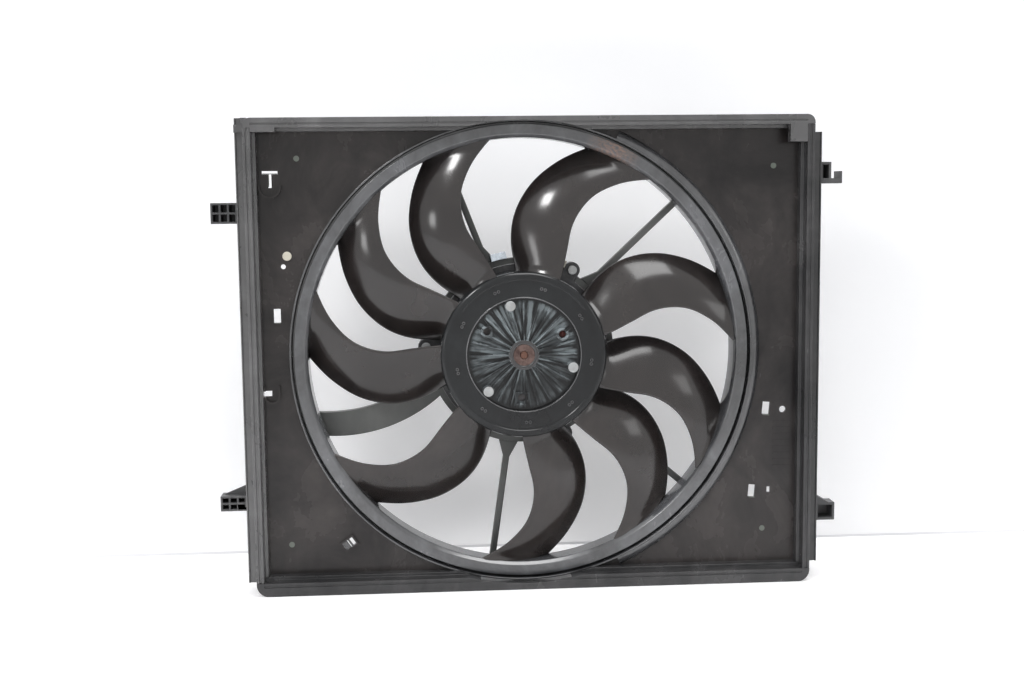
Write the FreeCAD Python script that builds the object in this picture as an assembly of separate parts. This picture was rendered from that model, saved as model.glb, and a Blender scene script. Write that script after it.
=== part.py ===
"""Radiator fan shroud with its electric cooling fan.

Frame: +Z up, +X to the right as seen from the radiator, -Y towards the radiator.
The origin is the centre of the bottom face that the shroud stands on. Millimetres.

"Depth" below is the distance behind the front rim plane, the plane that meets the
radiator; depths grow towards the engine, which is +Y. Angles turn anticlockwise from
+X as seen from the radiator.
"""
import FreeCAD, Part
import math
import os

Vec = FreeCAD.Vector

# ---- fan --------------------------------------------------------------------------
RING_R = 212.0            # bore of the band around the blades
RING_T = 2.2
LIP_W = 13.5              # reach of the flared lip beyond the bore of the band
LIP_CHAMFER = 3.5
LIP_SKIRT = 5.0           # depth of the outer edge of the lip
HUB_R = 82.0
HUB_FRONT = 4.0
HUB_WALL = 2.6
HUB_EDGE = 5.0            # size of the rounded edge of the hub
HUB_RIM_W = 2.0           # flat on top of that edge
HUB_RECESS = 2.2          # flat face below the rim
DISH_R = 56.0
DISH_FLOOR = 12.0
DISH_STEP = 3.5           # ribs end this far inside the dish
BOSS_R = 15.0
BOSS_SET_BACK = 1.5       # boss and ribs behind the front of the hub and its face
HUB_RIBS = 24
HUB_RIB_T = 1.6
SCREW_INSET = 6.0         # hub screws inside the edge of the dish
SCREW_ANGLES = (105.0, 225.0, 345.0)
HUB_SCREW_R = 2.0
HUB_SCREW_HEAD_R = 5.0
HUB_SCREW_HEAD_H = 2.6
SCREW_PAD_W = 1.5
VENT_R = 3.6
VENT_INSET = 13.0
VENT_ANGLES = (27.0, 147.0, 267.0)
BLADE_GAPS = (32.0, 45.0, 51.0, 37.0, 30.0, 37.0, 51.0, 45.0, 32.0)
FIRST_BLADE = 133.1
BLADE_T = 2.6
BLADE_EDGE_T = 1.0
CAMBER = 4.5
# share of the span, angles of the leading and trailing edge, their depths behind the hub front
BLADE_STATIONS = (
    (0.0, 8.0, 37.6, 5.0, 34.0),
    (0.215, 11.2, 38.6, 6.0, 34.0),
    (0.415, 13.0, 36.4, 8.0, 34.5),
    (0.64, 10.4, 30.5, 11.5, 36.0),
    (0.83, 4.5, 23.2, 15.5, 38.0),
    (1.0, -2.8, 15.4, 20.5, 40.0),
)
CHORD_SHARES = (0.0, 0.3, 0.7, 1.0)
END_SHARES = (0.0, 0.12, 0.3, 0.5, 0.7, 0.88, 1.0)    # closer, to follow the hub and the band
BLADE_SEAT = 0.01         # hair gap of the blade ends, in place of curved faces that touch
BAND_AHEAD = 4.5          # band in front of the blade tips
BAND_BEHIND = 2.0
HUB_BEHIND = 7.0          # hub behind the blade roots

# ---- fan duct ---------------------------------------------------------------------
LIP_GAP = 2.5             # lip of the fan to the wall of its pocket
BAND_GAP = 3.3            # band of the fan to the bore of the duct
DUCT_WALL = 1.8
DUCT_FRONT = 18.0
POCKET_D = 12.0           # depth of the pocket that the lip turns in

# ---- shroud -----------------------------------------------------------------------
LEFT_PANEL_W = 28.7       # panel between the duct and the left rail, at its narrowest
RIGHT_PANEL_W = 48.7
TOP_MARGIN = 1.7          # duct to the top of the shroud
BOTTOM_MARGIN = 4.7
WALL = 2.5                # general moulded wall
OUTER_WALL = 3.0          # outer wall of the rails
FRONT_WEB = 2.8           # front face of the rails
TOP_RAIL_W = 9.5
BOTTOM_RAIL_W = 13.5
SIDE_RAIL_W = 7.5
SIDE_FLANGE_W = 8.0       # thin flange outside each side rail
FLANGE_DEPTH = 6.0
FLANGE_BEAD = 1.6
RIGHT_FLANGE_LOW = 6.0    # the right flange stops short of both ends of its rail
RIGHT_FLANGE_HIGH = 7.5
RAIL_GROOVE_W = 2.0
RAIL_GROOVE_D = 1.2
GROOVE_INSET = 3.5
LEDGE_W = 3.0             # step inside the rails, in front of the panel
LEDGE_DEPTH = 13.0
TOP_WALL_DEPTH = 44.0
SIDE_WALL_DEPTH = 40.0
CORNER_R = 8.0
FOOT_CORNER_R = 12.0
CORNER_BLOCK_W = 17.0
CORNER_BLOCK_D = 10.0
LEFT_BLOCK_W = 23.0
LEFT_BLOCK_H = 4.0

# ---- panel ------------------------------------------------------------------------
PANEL_DEPTH = 24.0        # front face of the panel
PANEL_T = 2.8
PANEL_RIB_T = 2.0
PANEL_RIB_H = 14.0
PANEL_RIB_ANGLES = (34, 45, 56, 124, 135, 148, 212, 220, 240, 304, 315, 325)
POCKET_RIB_T = 1.8
POCKET_RIB_H = 5.0
PLUG_IN = 29.0            # places of the plug, its locating hole and the harness hole
PLUG_DOWN = 122.8         # from the inner faces of the rails beside them
PLUG_R = 3.0
PLUG_HEAD_R = 4.5
PLUG_HEAD_H = 2.0
PLUG_TAIL = 6.0
LOCATOR_IN = 25.0
LOCATOR_BELOW = 10.2
LOCATOR_R = 2.4
HARNESS_IN = 15.5
HARNESS_BELOW = 60.7
HARNESS_HOLE_R = 3.3
T_SLOT_IN = 14.5
T_SLOT_DOWN = 41.9
T_SLOT_W, T_SLOT_H = 15.3, 3.2
T_STEM_W, T_STEM_H = 3.2, 13.0
T_POCKET_W, T_POCKET_H = 22.0, 13.0
SIDE_SLOT_IN = 5.5
SIDE_SLOT_BELOW = 34.2
SIDE_SLOT_W, SIDE_SLOT_H = 10.0, 5.4
SIDE_POCKET_W, SIDE_POCKET_H = 16.0, 18.0
LEFT_SLOT_IN, LEFT_SLOT_ABOVE = 17.8, 42.5
LEFT_SLOT_W, LEFT_SLOT_H = 6.8, 13.6
CLIP_SLOT_TILT = -5.0
UPPER_SLOT_IN, UPPER_SLOT_BELOW = 32.6, 59.0
UPPER_SLOT_W, UPPER_SLOT_H = 7.4, 12.7
LOWER_SLOT_IN, LOWER_SLOT_UP = 46.6, 75.7
LOWER_SLOT_W, LOWER_SLOT_H = 6.8, 12.7
SLIT_IN, SLIT_UP = 29.2, 76.5
SLIT_W, SLIT_H = 3.4, 6.0
CLIP_IN, CLIP_UP, CLIP_TILT = 82.5, 32.5, 35.0
CLIP_W, CLIP_H, CLIP_RISE = 16.0, 12.0, 3.0
CLIP_WALL = 2.0
GRIP_IN, GRIP_W, GRIP_BELOW = 7.5, 18.0, 74.0
GRIPS, GRIP_PITCH, GRIP_H = 8, 6.5, 2.0

# ---- tabs and hooks ---------------------------------------------------------------
TAB_BEHIND = 0.5          # tabs and hooks behind the side flange
TAB_D = 18.0
TAB_REACH = 25.6
TAB_CELLS = (3, 2)
TAB_RIB = 2.0
UPPER_TAB_DOWN, UPPER_TAB_H = 90.5, 20.0
LOWER_TAB_UP, LOWER_TAB_H = 71.5, 15.0
GUSSET_H = 13.0
HOOK_REACH = 22.0
HOOK_T = 5.0
HOOK_BLOCK_W, HOOK_BLOCK_H = 11.0, 21.0
HOOK_TOE_W, HOOK_TOE_H = 3.0, 12.0
UPPER_HOOK_DOWN = 57.7
LOWER_HOOK_UP = 47.0
LOWER_HOOK_H, LOWER_HOOK_TOE_H = 26.0, 18.0
HOOK_WALL = 2.5

# ---- motor carrier ----------------------------------------------------------------
STRUT_GAP = 6.5           # band of the fan to the struts
STRUT_D = 9.5
STRUT_T = 6.5
STRUT_FOOT = 17.0         # how far the flared root of a strut runs along it
STRUT_FOOT_W = 24.7
STRUT_ANGLES = (43.0, 111.0, 261.7, 319.6)
CABLE_STRUT_W = 26.0
CABLE_STRUT_ANGLE = 199.0
CABLE_STRUT_SAG = 15.0
CARRIER_GAP = 6.0         # hub to carrier ring
CARRIER_T = 6.0
CARRIER_SET_BACK = 1.5    # ring behind the front of the motor flange
LUG_OUT = 2.0             # screw circle outside the carrier ring
LUG_ANGLES = (57.0, 177.0, 297.0)
LUG_PAD_R = 8.0
MOTOR_SCREW_R = 2.5
MOTOR_HEAD_R = 4.6
MOTOR_HEAD_H = 3.0
LUG_FLOOR = 2.0
WIRE_CLIPS = ((69.0, 12.0), (103.0, 16.0))   # angle and width of each clip
WIRE_CLIP_REACH = 7.0
WIRE_CLIP_RISE = 3.0      # in front of the carrier ring
WIRE_CLIP_WALL = 2.0

# ---- motor ------------------------------------------------------------------------
RUNNING = 0.03            # radial clearance of the shaft in its bearings
SEAT = 0.3                # clearance between pieces that are screwed or placed
SHAFT_R = 4.0
SHAFT_FRONT = 7.0
SHAFT_TAIL = 1.0
BUSH_R = 11.0
BUSH_FRONT = 5.5
ROTOR_GAP = 3.4           # rotor to the inside of the hub
ROTOR_T = 1.8
ROTOR_SHORT = 2.0         # rotor ends in front of the hub's rear edge
MAGNETS = 10
MAGNET_T = 3.5
MAGNET_GAP_DEG = 3.0
MAGNET_OVER = 1.0         # magnets longer than the core at each end
AIR_GAP = 0.7
CORE_AHEAD = 24.0         # core in front of the motor flange
CORE_L = 14.0
TEETH = 12
TOOTH_W = 9.0
TOOTH_TIP_T = 3.0
TOOTH_SLOT_DEG = 4.0
YOKE_W = 22.0
COIL_T = 3.2
BEARING_R = 11.0
BEARING_W = 7.0
TUBE_WALL = 5.0
TUBE_AHEAD = 27.0         # bearing tube in front of the motor flange
FRONT_BEARING_IN = 2.0
FLANGE_GAP = 2.0          # hub to the motor flange
BASE_T = 5.0
REAR_BEARING_OUT = 3.0    # rear bearing ends in front of the back of the flange
CUP_STEP = 18.0           # electronics cup inside the carrier ring
CUP_WALL = 3.0
CUP_REACH = 12.0          # cup behind the shroud's rear edge
BOARD_GAP = 5.5
BOARD_T = 1.6
BOARD_LIFT = 5.0
POST_W = 8.0
TRANSISTORS = 6
TRANSISTOR_SIZE = (10.0, 15.0, 4.5)
TRANSISTOR_R = 36.0
COVER_T = 3.0
COVER_EDGE = 4.0
FIN_H = 11.0
FIN_T = 2.0
FINS = 13
FIN_PITCH = 9.5
SOCKET_W = 30.0
SOCKET_D = 11.0
SOCKET_LEN = 26.0         # how far the socket stands out of the electronics cup
SOCKET_WALL = 2.0
SOCKET_MOUTH = 18.0
SOCKET_ANGLE = 180.0
PIN_T = 0.8
PIN_W = 2.8
PIN_LEN = 12.0
PIN_PITCH = 8.0

# ---- sizes that follow ------------------------------------------------------------
LIP_R = RING_R + LIP_W
RECESS_R = LIP_R + LIP_GAP
DUCT_R = RING_R + RING_T + BAND_GAP
DUCT_OUTER = RECESS_R + DUCT_WALL
RECESS_BACK = DUCT_FRONT + POCKET_D

SHROUD_W = 2 * (DUCT_OUTER + SIDE_RAIL_W + SIDE_FLANGE_W) + LEFT_PANEL_W + RIGHT_PANEL_W
SHROUD_H = 2 * DUCT_OUTER + TOP_MARGIN + BOTTOM_MARGIN
FAN_X = (LEFT_PANEL_W - RIGHT_PANEL_W) / 2
FAN_Z = DUCT_OUTER + BOTTOM_MARGIN
BODY_HALF = SHROUD_W / 2 - SIDE_FLANGE_W
INNER_X = BODY_HALF - SIDE_RAIL_W
INNER_TOP = SHROUD_H - TOP_RAIL_W
INNER_LOW = BOTTOM_RAIL_W
MID_Z = SHROUD_H / 2
PANEL_BACK = PANEL_DEPTH + PANEL_T

FACE_DEPTH = HUB_FRONT + HUB_RECESS
SCREW_CIRCLE_R = DISH_R - SCREW_INSET
VENT_CIRCLE_R = DISH_R - VENT_INSET
TIP_LEAD, TIP_TRAIL = BLADE_STATIONS[-1][3:]
LIP_FRONT = HUB_FRONT + TIP_LEAD - BAND_AHEAD
RING_BACK = HUB_FRONT + TIP_TRAIL + BAND_BEHIND
HUB_BACK = HUB_FRONT + BLADE_STATIONS[0][4] + HUB_BEHIND

STRUT_FRONT = RING_BACK + STRUT_GAP
RIM_DEPTH = STRUT_FRONT + STRUT_D     # front rim plane to the rear edge of the bottom wall
FRONT_Y = -RIM_DEPTH / 2

BASE_FRONT = HUB_BACK + FLANGE_GAP
BASE_BACK = BASE_FRONT + BASE_T
CARRIER_R_IN = HUB_R + CARRIER_GAP
CARRIER_R_OUT = CARRIER_R_IN + CARRIER_T
CARRIER_FRONT = BASE_FRONT + CARRIER_SET_BACK
LUG_R = CARRIER_R_OUT + LUG_OUT

ROTOR_R = HUB_R - HUB_WALL - ROTOR_GAP
ROTOR_FRONT = DISH_FLOOR + HUB_WALL
ROTOR_BACK = HUB_BACK - ROTOR_SHORT
MAGNET_R = ROTOR_R - ROTOR_T
STATOR_R = MAGNET_R - MAGNET_T - AIR_GAP
TUBE_R = BEARING_R + TUBE_WALL
YOKE_R = TUBE_R + YOKE_W
CORE_FRONT = BASE_FRONT - CORE_AHEAD
CORE_BACK = CORE_FRONT + CORE_L
FRONT_BEARING = BASE_FRONT - TUBE_AHEAD + FRONT_BEARING_IN
REAR_BEARING = BASE_BACK - REAR_BEARING_OUT - BEARING_W
CUP_R = CARRIER_R_IN - CUP_STEP
CUP_BACK = RIM_DEPTH + CUP_REACH
BOARD_HALF = (CUP_R - CUP_WALL - BOARD_GAP) * math.cos(math.pi / 8)
BOARD_DEPTH = BASE_BACK + BOARD_LIFT
COVER_BACK = CUP_BACK + COVER_T
SOCKET_FRONT = RIM_DEPTH + SEAT
TAB_D0 = FLANGE_DEPTH + WALL + TAB_BEHIND
TAB_D1 = TAB_D0 + TAB_D

PLUG_X, PLUG_Z = -INNER_X + PLUG_IN, INNER_TOP - PLUG_DOWN
T_SLOT_X, T_SLOT_Z = -INNER_X + T_SLOT_IN, INNER_TOP - T_SLOT_DOWN
SIDE_SLOT_X, SIDE_SLOT_Z = -INNER_X + SIDE_SLOT_IN, MID_Z - SIDE_SLOT_BELOW
CLIP_X, CLIP_Z = -INNER_X + CLIP_IN, INNER_LOW + CLIP_UP


def box(x0, x1, d0, d1, z0, z1):
    """Block between two widths, two depths behind the rim plane and two heights."""
    return Part.makeBox(x1 - x0, d1 - d0, z1 - z0, Vec(x0, FRONT_Y + d0, z0))


def rod(radius, d0, d1, x=FAN_X, z=FAN_Z):
    """Cylinder along the depth, on the fan axis unless placed elsewhere."""
    return Part.makeCylinder(radius, d1 - d0, Vec(x, FRONT_Y + d0, z), Vec(0, 1, 0))


def tube(r_out, r_in, d0, d1, x=FAN_X, z=FAN_Z):
    """Plain ring along the depth."""
    return rod(r_out, d0, d1, x, z).cut(rod(r_in, d0, d1, x, z))


def bored(radius, x=FAN_X, z=FAN_Z):
    """Cylinder long enough to cut a hole through anything."""
    return rod(radius, -RIM_DEPTH, 3 * RIM_DEPTH, x, z)


def polar(radius, angle):
    """Point (x, z) at an angle from +X about the fan axis."""
    a = math.radians(angle)
    return FAN_X + radius * math.cos(a), FAN_Z + radius * math.sin(a)


def spun(shape, angle):
    """Copy of a shape turned about the fan axis, anticlockwise seen from the front."""
    turned = shape.copy()
    turned.rotate(Vec(FAN_X, 0, FAN_Z), Vec(0, -1, 0), angle)
    return turned


def radial_bar(r0, r1, width, d0, d1, angle):
    """Bar that runs outwards from the fan axis at an angle."""
    bar = box(FAN_X + r0, FAN_X + r1, d0, d1, FAN_Z - width / 2, FAN_Z + width / 2)
    return spun(bar, angle)


def plate(corners, d0, d1):
    """Flat plate with corners (x, z), between two depths."""
    points = [Vec(x, FRONT_Y + d0, z) for x, z in corners]
    return Part.Face(Part.makePolygon(points + points[:1])).extrude(Vec(0, d1 - d0, 0))


def revolved(points):
    """Solid of revolution about the fan axis from (radius, depth) corners."""
    ring = [Vec(FAN_X + r, FRONT_Y + d, FAN_Z) for r, d in points]
    face = Part.Face(Part.makePolygon(ring + ring[:1]))
    return face.revolve(Vec(FAN_X, 0, FAN_Z), Vec(0, 1, 0), 360)


def fuse_all(shapes):
    """One clean solid from several that touch or overlap."""
    return shapes[0].multiFuse(shapes[1:]).removeSplitter() if len(shapes) > 1 else shapes[0]


def cut_all(shape, tools):
    """Shape with every tool cut away."""
    return shape.cut(tools[0].multiFuse(tools[1:]) if len(tools) > 1 else tools[0])


def round_edges(shape, radius, chosen):
    """Fillet the edges whose bounding box passes the test."""
    edges = [e for e in shape.Edges if chosen(e.BoundBox)]
    return shape.makeFillet(radius, edges)


def along_y(bb, x, z):
    """True for the bounding box of an edge that runs along the depth through (x, z)."""
    near = 0.1
    return bb.YLength > 1 and abs(bb.XMin - x) < near and abs(bb.XMax - x) < near \
        and abs(bb.ZMin - z) < near and abs(bb.ZMax - z) < near


def fan_clearance():
    """Round space that the rails and the panel leave for the duct."""
    return rod(RECESS_R, -1, DUCT_FRONT).fuse(rod(DUCT_OUTER, DUCT_FRONT, RIM_DEPTH + 1))


# ---- shroud -----------------------------------------------------------------------
def cross_rail(z_out, z_in, wall_depth, corner_r):
    """Top or bottom rail: a channel, open to the rear, with rounded outer corners."""
    up = 1 if z_in > z_out else -1
    low, high = min(z_out, z_in), max(z_out, z_in)
    body = box(-BODY_HALF, BODY_HALF, 0, wall_depth, low, high)
    for x in (-BODY_HALF, BODY_HALF):
        body = round_edges(body, corner_r, lambda bb: along_y(bb, x, z_out))
    skin = z_out + up * OUTER_WALL
    lining = z_in - up * WALL
    hollow = box(-BODY_HALF + corner_r, BODY_HALF - corner_r, FRONT_WEB, wall_depth + 1,
                 min(skin, lining), max(skin, lining))
    behind_panel = box(-INNER_X, INNER_X, PANEL_BACK, wall_depth + 1,
                       min(skin, z_in + up), max(skin, z_in + up))
    groove_z = z_in - up * GROOVE_INSET
    groove = box(-INNER_X, INNER_X, -1, RAIL_GROOVE_D,
                 groove_z - RAIL_GROOVE_W / 2, groove_z + RAIL_GROOVE_W / 2)
    ledge_z = z_in + up * LEDGE_W
    ledge = box(-INNER_X, INNER_X, LEDGE_DEPTH, PANEL_DEPTH, min(z_in, ledge_z),
                max(z_in, ledge_z))
    rail = cut_all(body, [hollow, behind_panel, groove]).fuse(ledge)
    return rail.cut(fan_clearance()).removeSplitter()


def top_rail():
    """Top rail with an infill block in each inner corner."""
    rail = cross_rail(SHROUD_H, INNER_TOP, TOP_WALL_DEPTH, CORNER_R)
    left = box(-INNER_X, -INNER_X + LEFT_BLOCK_W, 0, CORNER_BLOCK_D,
               INNER_TOP - LEFT_BLOCK_H, INNER_TOP)
    right = box(INNER_X - CORNER_BLOCK_W, INNER_X, 0, CORNER_BLOCK_D,
                INNER_TOP - CORNER_BLOCK_W, INNER_TOP)
    return fuse_all([rail, left, right])


def bottom_rail():
    return cross_rail(0, INNER_LOW, RIM_DEPTH, FOOT_CORNER_R)


def side_rail(side, z0, z1):
    """Side rail: a channel with a thin flange outside it, between the cross rails."""
    low, high = INNER_LOW, INNER_TOP
    x_in, x_out = side * INNER_X, side * BODY_HALF
    edge = side * SHROUD_W / 2

    def span(xa, xb, d0, d1, za, zb):
        return box(min(xa, xb), max(xa, xb), d0, d1, za, zb)

    body = span(x_in, x_out, 0, SIDE_WALL_DEPTH, low, high)
    hollow = span(x_in + side * WALL, x_out - side * WALL, FRONT_WEB, SIDE_WALL_DEPTH + 1,
                  low - 1, high + 1)
    rear = span(x_in - side, x_out - side * WALL, PANEL_BACK, SIDE_WALL_DEPTH + 1,
                low - 1, high + 1)
    flange = span(x_out, edge, FLANGE_DEPTH, FLANGE_DEPTH + WALL, z0, z1)
    bead = span(edge - side * FLANGE_BEAD, edge, FLANGE_DEPTH - FLANGE_BEAD, FLANGE_DEPTH,
                z0, z1)
    groove_x = (x_in + x_out) / 2
    groove = box(groove_x - RAIL_GROOVE_W / 2, groove_x + RAIL_GROOVE_W / 2, -1,
                 RAIL_GROOVE_D, low - 1, high + 1)
    ledge = span(x_in - side * LEDGE_W, x_in, LEDGE_DEPTH, PANEL_DEPTH, low + LEDGE_W,
                 high - LEDGE_W)
    return fuse_all([cut_all(body, [hollow, rear, groove]), flange, bead, ledge])


def left_rail():
    return side_rail(-1, INNER_LOW, SHROUD_H)


def right_rail():
    return side_rail(1, INNER_LOW + RIGHT_FLANGE_LOW, INNER_TOP - RIGHT_FLANGE_HIGH)


def slot(x, z, width, height, tilt=0.0):
    """Rectangular hole through the panel, tilted about its centre."""
    cut = box(x - width / 2, x + width / 2, PANEL_DEPTH - POCKET_RIB_H - 1, PANEL_BACK + 1,
              z - height / 2, z + height / 2)
    cut.rotate(Vec(x, 0, z), Vec(0, -1, 0), tilt)
    return cut


def pocket_rib(x, z_top, width, height):
    """U-shaped rib that stands on the panel below a clip slot."""
    d0, d1 = PANEL_DEPTH - POCKET_RIB_H, PANEL_DEPTH
    bend = width / 2
    low = z_top - height + bend
    ring = tube(bend, bend - POCKET_RIB_T, d0, d1, x, low)
    block = box(x - bend, x + bend, d0, d1, low, z_top)
    room = box(x - bend + POCKET_RIB_T, x + bend - POCKET_RIB_T, d0, d1, low, z_top)
    lower_half = ring.common(box(x - width, x + width, d0, d1, low - width, low))
    return fuse_all([lower_half, block.cut(room)])


def shroud_panel():
    """Flat web between the rails, with its round cut-out, slots and raised ribs."""
    web = box(-INNER_X, INNER_X, PANEL_DEPTH, PANEL_BACK, INNER_LOW, INNER_TOP)
    t_stem_z = T_SLOT_Z - (T_SLOT_H + T_STEM_H) / 2
    pockets = [pocket_rib(T_SLOT_X, t_stem_z - (T_SLOT_H + WALL) / 2 - 1, T_POCKET_W, T_POCKET_H),
               pocket_rib(-INNER_X + SIDE_POCKET_W / 2 + LEDGE_W, SIDE_SLOT_Z + SIDE_POCKET_W / 2,
                          SIDE_POCKET_W, SIDE_POCKET_H)]
    clip = box(CLIP_X - CLIP_W / 2, CLIP_X + CLIP_W / 2, PANEL_DEPTH - CLIP_RISE, PANEL_DEPTH,
               CLIP_Z - CLIP_H / 2, CLIP_Z + CLIP_H / 2)
    clip.rotate(Vec(CLIP_X, 0, CLIP_Z), Vec(0, -1, 0), CLIP_TILT)
    grip_x = INNER_X - GRIP_IN
    grips = [box(grip_x - GRIP_W, grip_x, PANEL_DEPTH - 1, PANEL_DEPTH, z, z + GRIP_H)
             for z in [MID_Z - GRIP_BELOW - GRIP_PITCH * i for i in range(GRIPS)]]
    body = web.multiFuse(pockets + [clip] + grips)
    return cut_all(body, [
        fan_clearance(),
        slot(T_SLOT_X, T_SLOT_Z, T_SLOT_W, T_SLOT_H),
        slot(T_SLOT_X, t_stem_z, T_STEM_W, T_STEM_H),
        slot(SIDE_SLOT_X, SIDE_SLOT_Z, SIDE_SLOT_W, SIDE_SLOT_H),
        slot(-INNER_X + LEFT_SLOT_IN, MID_Z + LEFT_SLOT_ABOVE, LEFT_SLOT_W, LEFT_SLOT_H),
        slot(INNER_X - UPPER_SLOT_IN, MID_Z - UPPER_SLOT_BELOW, UPPER_SLOT_W, UPPER_SLOT_H,
             CLIP_SLOT_TILT),
        slot(INNER_X - LOWER_SLOT_IN, INNER_LOW + LOWER_SLOT_UP, LOWER_SLOT_W, LOWER_SLOT_H,
             CLIP_SLOT_TILT),
        slot(INNER_X - SLIT_IN, INNER_LOW + SLIT_UP, SLIT_W, SLIT_H),
        slot(CLIP_X, CLIP_Z, CLIP_W - 2 * CLIP_WALL, CLIP_H - 2 * CLIP_WALL, CLIP_TILT),
        bored(PLUG_R, PLUG_X, PLUG_Z),
        bored(LOCATOR_R, -INNER_X + LOCATOR_IN, PLUG_Z - LOCATOR_BELOW),
        bored(HARNESS_HOLE_R, INNER_X - HARNESS_IN, MID_Z - HARNESS_BELOW)])


def panel_ribs():
    """Stiffening ribs behind the four corners of the panel, from the duct outwards."""
    inside = box(-INNER_X, INNER_X, PANEL_BACK, PANEL_BACK + PANEL_RIB_H, INNER_LOW, INNER_TOP)
    ribs = []
    for angle in PANEL_RIB_ANGLES:
        bar = radial_bar(DUCT_OUTER - 1, SHROUD_W, PANEL_RIB_T, PANEL_BACK,
                         PANEL_BACK + PANEL_RIB_H, angle)
        ribs.append(bar.common(inside).cut(bored(DUCT_OUTER)))
    return Part.makeCompound(ribs)


def fan_duct():
    """Stepped round duct that the fan turns in, with a pocket for the lip of the fan."""
    step = RECESS_BACK + DUCT_WALL
    return revolved([
        (RECESS_R, DUCT_FRONT), (DUCT_OUTER, DUCT_FRONT), (DUCT_OUTER, step),
        (DUCT_R + DUCT_WALL, step), (DUCT_R + DUCT_WALL, RIM_DEPTH), (DUCT_R, RIM_DEPTH),
        (DUCT_R, RECESS_BACK), (RECESS_R, RECESS_BACK)])


def motor_lug(radius, d0, d1, angle):
    """Rounded lug that reaches out from the motor flange to its screw."""
    eye = rod(radius, d0, d1, *polar(LUG_R, angle))
    neck = radial_bar(CARRIER_R_IN - 2 * LUG_PAD_R, LUG_R, 2 * radius, d0, d1, angle)
    return eye.fuse(neck)


def carrier_ring():
    """Ring that holds the motor, with three screw lugs."""
    pieces = [tube(CARRIER_R_OUT, CARRIER_R_IN, CARRIER_FRONT, RIM_DEPTH)]
    for angle in LUG_ANGLES:
        lug = motor_lug(LUG_PAD_R, BASE_BACK, RIM_DEPTH, angle)
        pieces.append(lug.cut(bored(CARRIER_R_IN)))
    notches = [motor_lug(LUG_PAD_R + SEAT, 0, BASE_BACK, a) for a in LUG_ANGLES]
    holes = [rod(MOTOR_SCREW_R, 0, RIM_DEPTH - LUG_FLOOR, *polar(LUG_R, a)) for a in LUG_ANGLES]
    return cut_all(fuse_all(pieces), notches + holes).removeSplitter()


def trim_strut(arm):
    """Cut both ends of an arm to the round faces that it joins."""
    return arm.common(rod(DUCT_R, 0, RIM_DEPTH + 1)).cut(bored(CARRIER_R_OUT))


def struts():
    """Straight arms with a flared root, from the carrier ring to the duct."""
    root, foot = FAN_X + CARRIER_R_IN, FAN_X + CARRIER_R_OUT + STRUT_FOOT
    arm = box(root, FAN_X + DUCT_OUTER, STRUT_FRONT, RIM_DEPTH,
              FAN_Z - STRUT_T / 2, FAN_Z + STRUT_T / 2)
    flare = plate([(root, FAN_Z - STRUT_FOOT_W / 2), (foot, FAN_Z - STRUT_T / 2),
                   (foot, FAN_Z + STRUT_T / 2), (root, FAN_Z + STRUT_FOOT_W / 2)],
                  STRUT_FRONT, RIM_DEPTH)
    one = trim_strut(fuse_all([arm, flare]))
    return Part.makeCompound([spun(one, a) for a in STRUT_ANGLES])


def cable_strut():
    """Wide curved arm, a channel for the motor's wires, open to the rear."""
    r_in, r_out, half = CARRIER_R_IN - WALL, DUCT_R + WALL, CABLE_STRUT_W / 2

    def bowed(inset, front):
        def arc(offset):
            pts = [Vec(FAN_X + r, FRONT_Y + front, FAN_Z + offset + lift)
                   for r, lift in ((r_in, 0), ((r_in + r_out) / 2, CABLE_STRUT_SAG), (r_out, 0))]
            return Part.Arc(*pts).toShape()
        low, high = arc(-half + inset), arc(half - inset)
        ends = [Part.LineSegment(low.Vertexes[i].Point, high.Vertexes[i].Point).toShape()
                for i in (0, 1)]
        outline = Part.Wire(Part.__sortEdges__([low, ends[1], high, ends[0]]))
        return Part.Face(outline).extrude(Vec(0, STRUT_D, 0))

    channel = bowed(WALL, STRUT_FRONT + WALL)
    arm = spun(trim_strut(bowed(0, STRUT_FRONT).cut(channel)), CABLE_STRUT_ANGLE)
    return cut_all(arm, [motor_lug(LUG_PAD_R, 0, RIM_DEPTH + 1, a) for a in LUG_ANGLES])


def left_tab(z, height, gusset):
    """Box-shaped tab with open rib cells, and a gusset above the lower one."""
    x0, x1 = -SHROUD_W / 2 - TAB_REACH, -BODY_HALF
    outer = box(x0, x1, TAB_D0, TAB_D1, z, z + height)
    columns, rows = TAB_CELLS
    cell_w = (TAB_REACH - TAB_RIB * (columns + 1)) / columns
    cell_h = (height - TAB_RIB * (rows + 1)) / rows
    cells = []
    for i in range(columns):
        for j in range(rows):
            cx = x0 + TAB_RIB + i * (cell_w + TAB_RIB)
            cz = z + TAB_RIB + j * (cell_h + TAB_RIB)
            cells.append(box(cx, cx + cell_w, 0, TAB_D1 - WALL, cz, cz + cell_h))
    tab = cut_all(outer, cells)
    if gusset:
        d_mid = (TAB_D0 + TAB_D1) / 2
        corners = [(x1, z + height), (x0 + TAB_RIB, z + height), (x1, z + height + GUSSET_H)]
        tab = tab.fuse(plate(corners, d_mid, d_mid + WALL))
    return tab


def left_mount_tabs():
    return Part.makeCompound([left_tab(INNER_TOP - UPPER_TAB_DOWN, UPPER_TAB_H, False),
                              left_tab(INNER_LOW + LOWER_TAB_UP, LOWER_TAB_H, True)])


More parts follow.
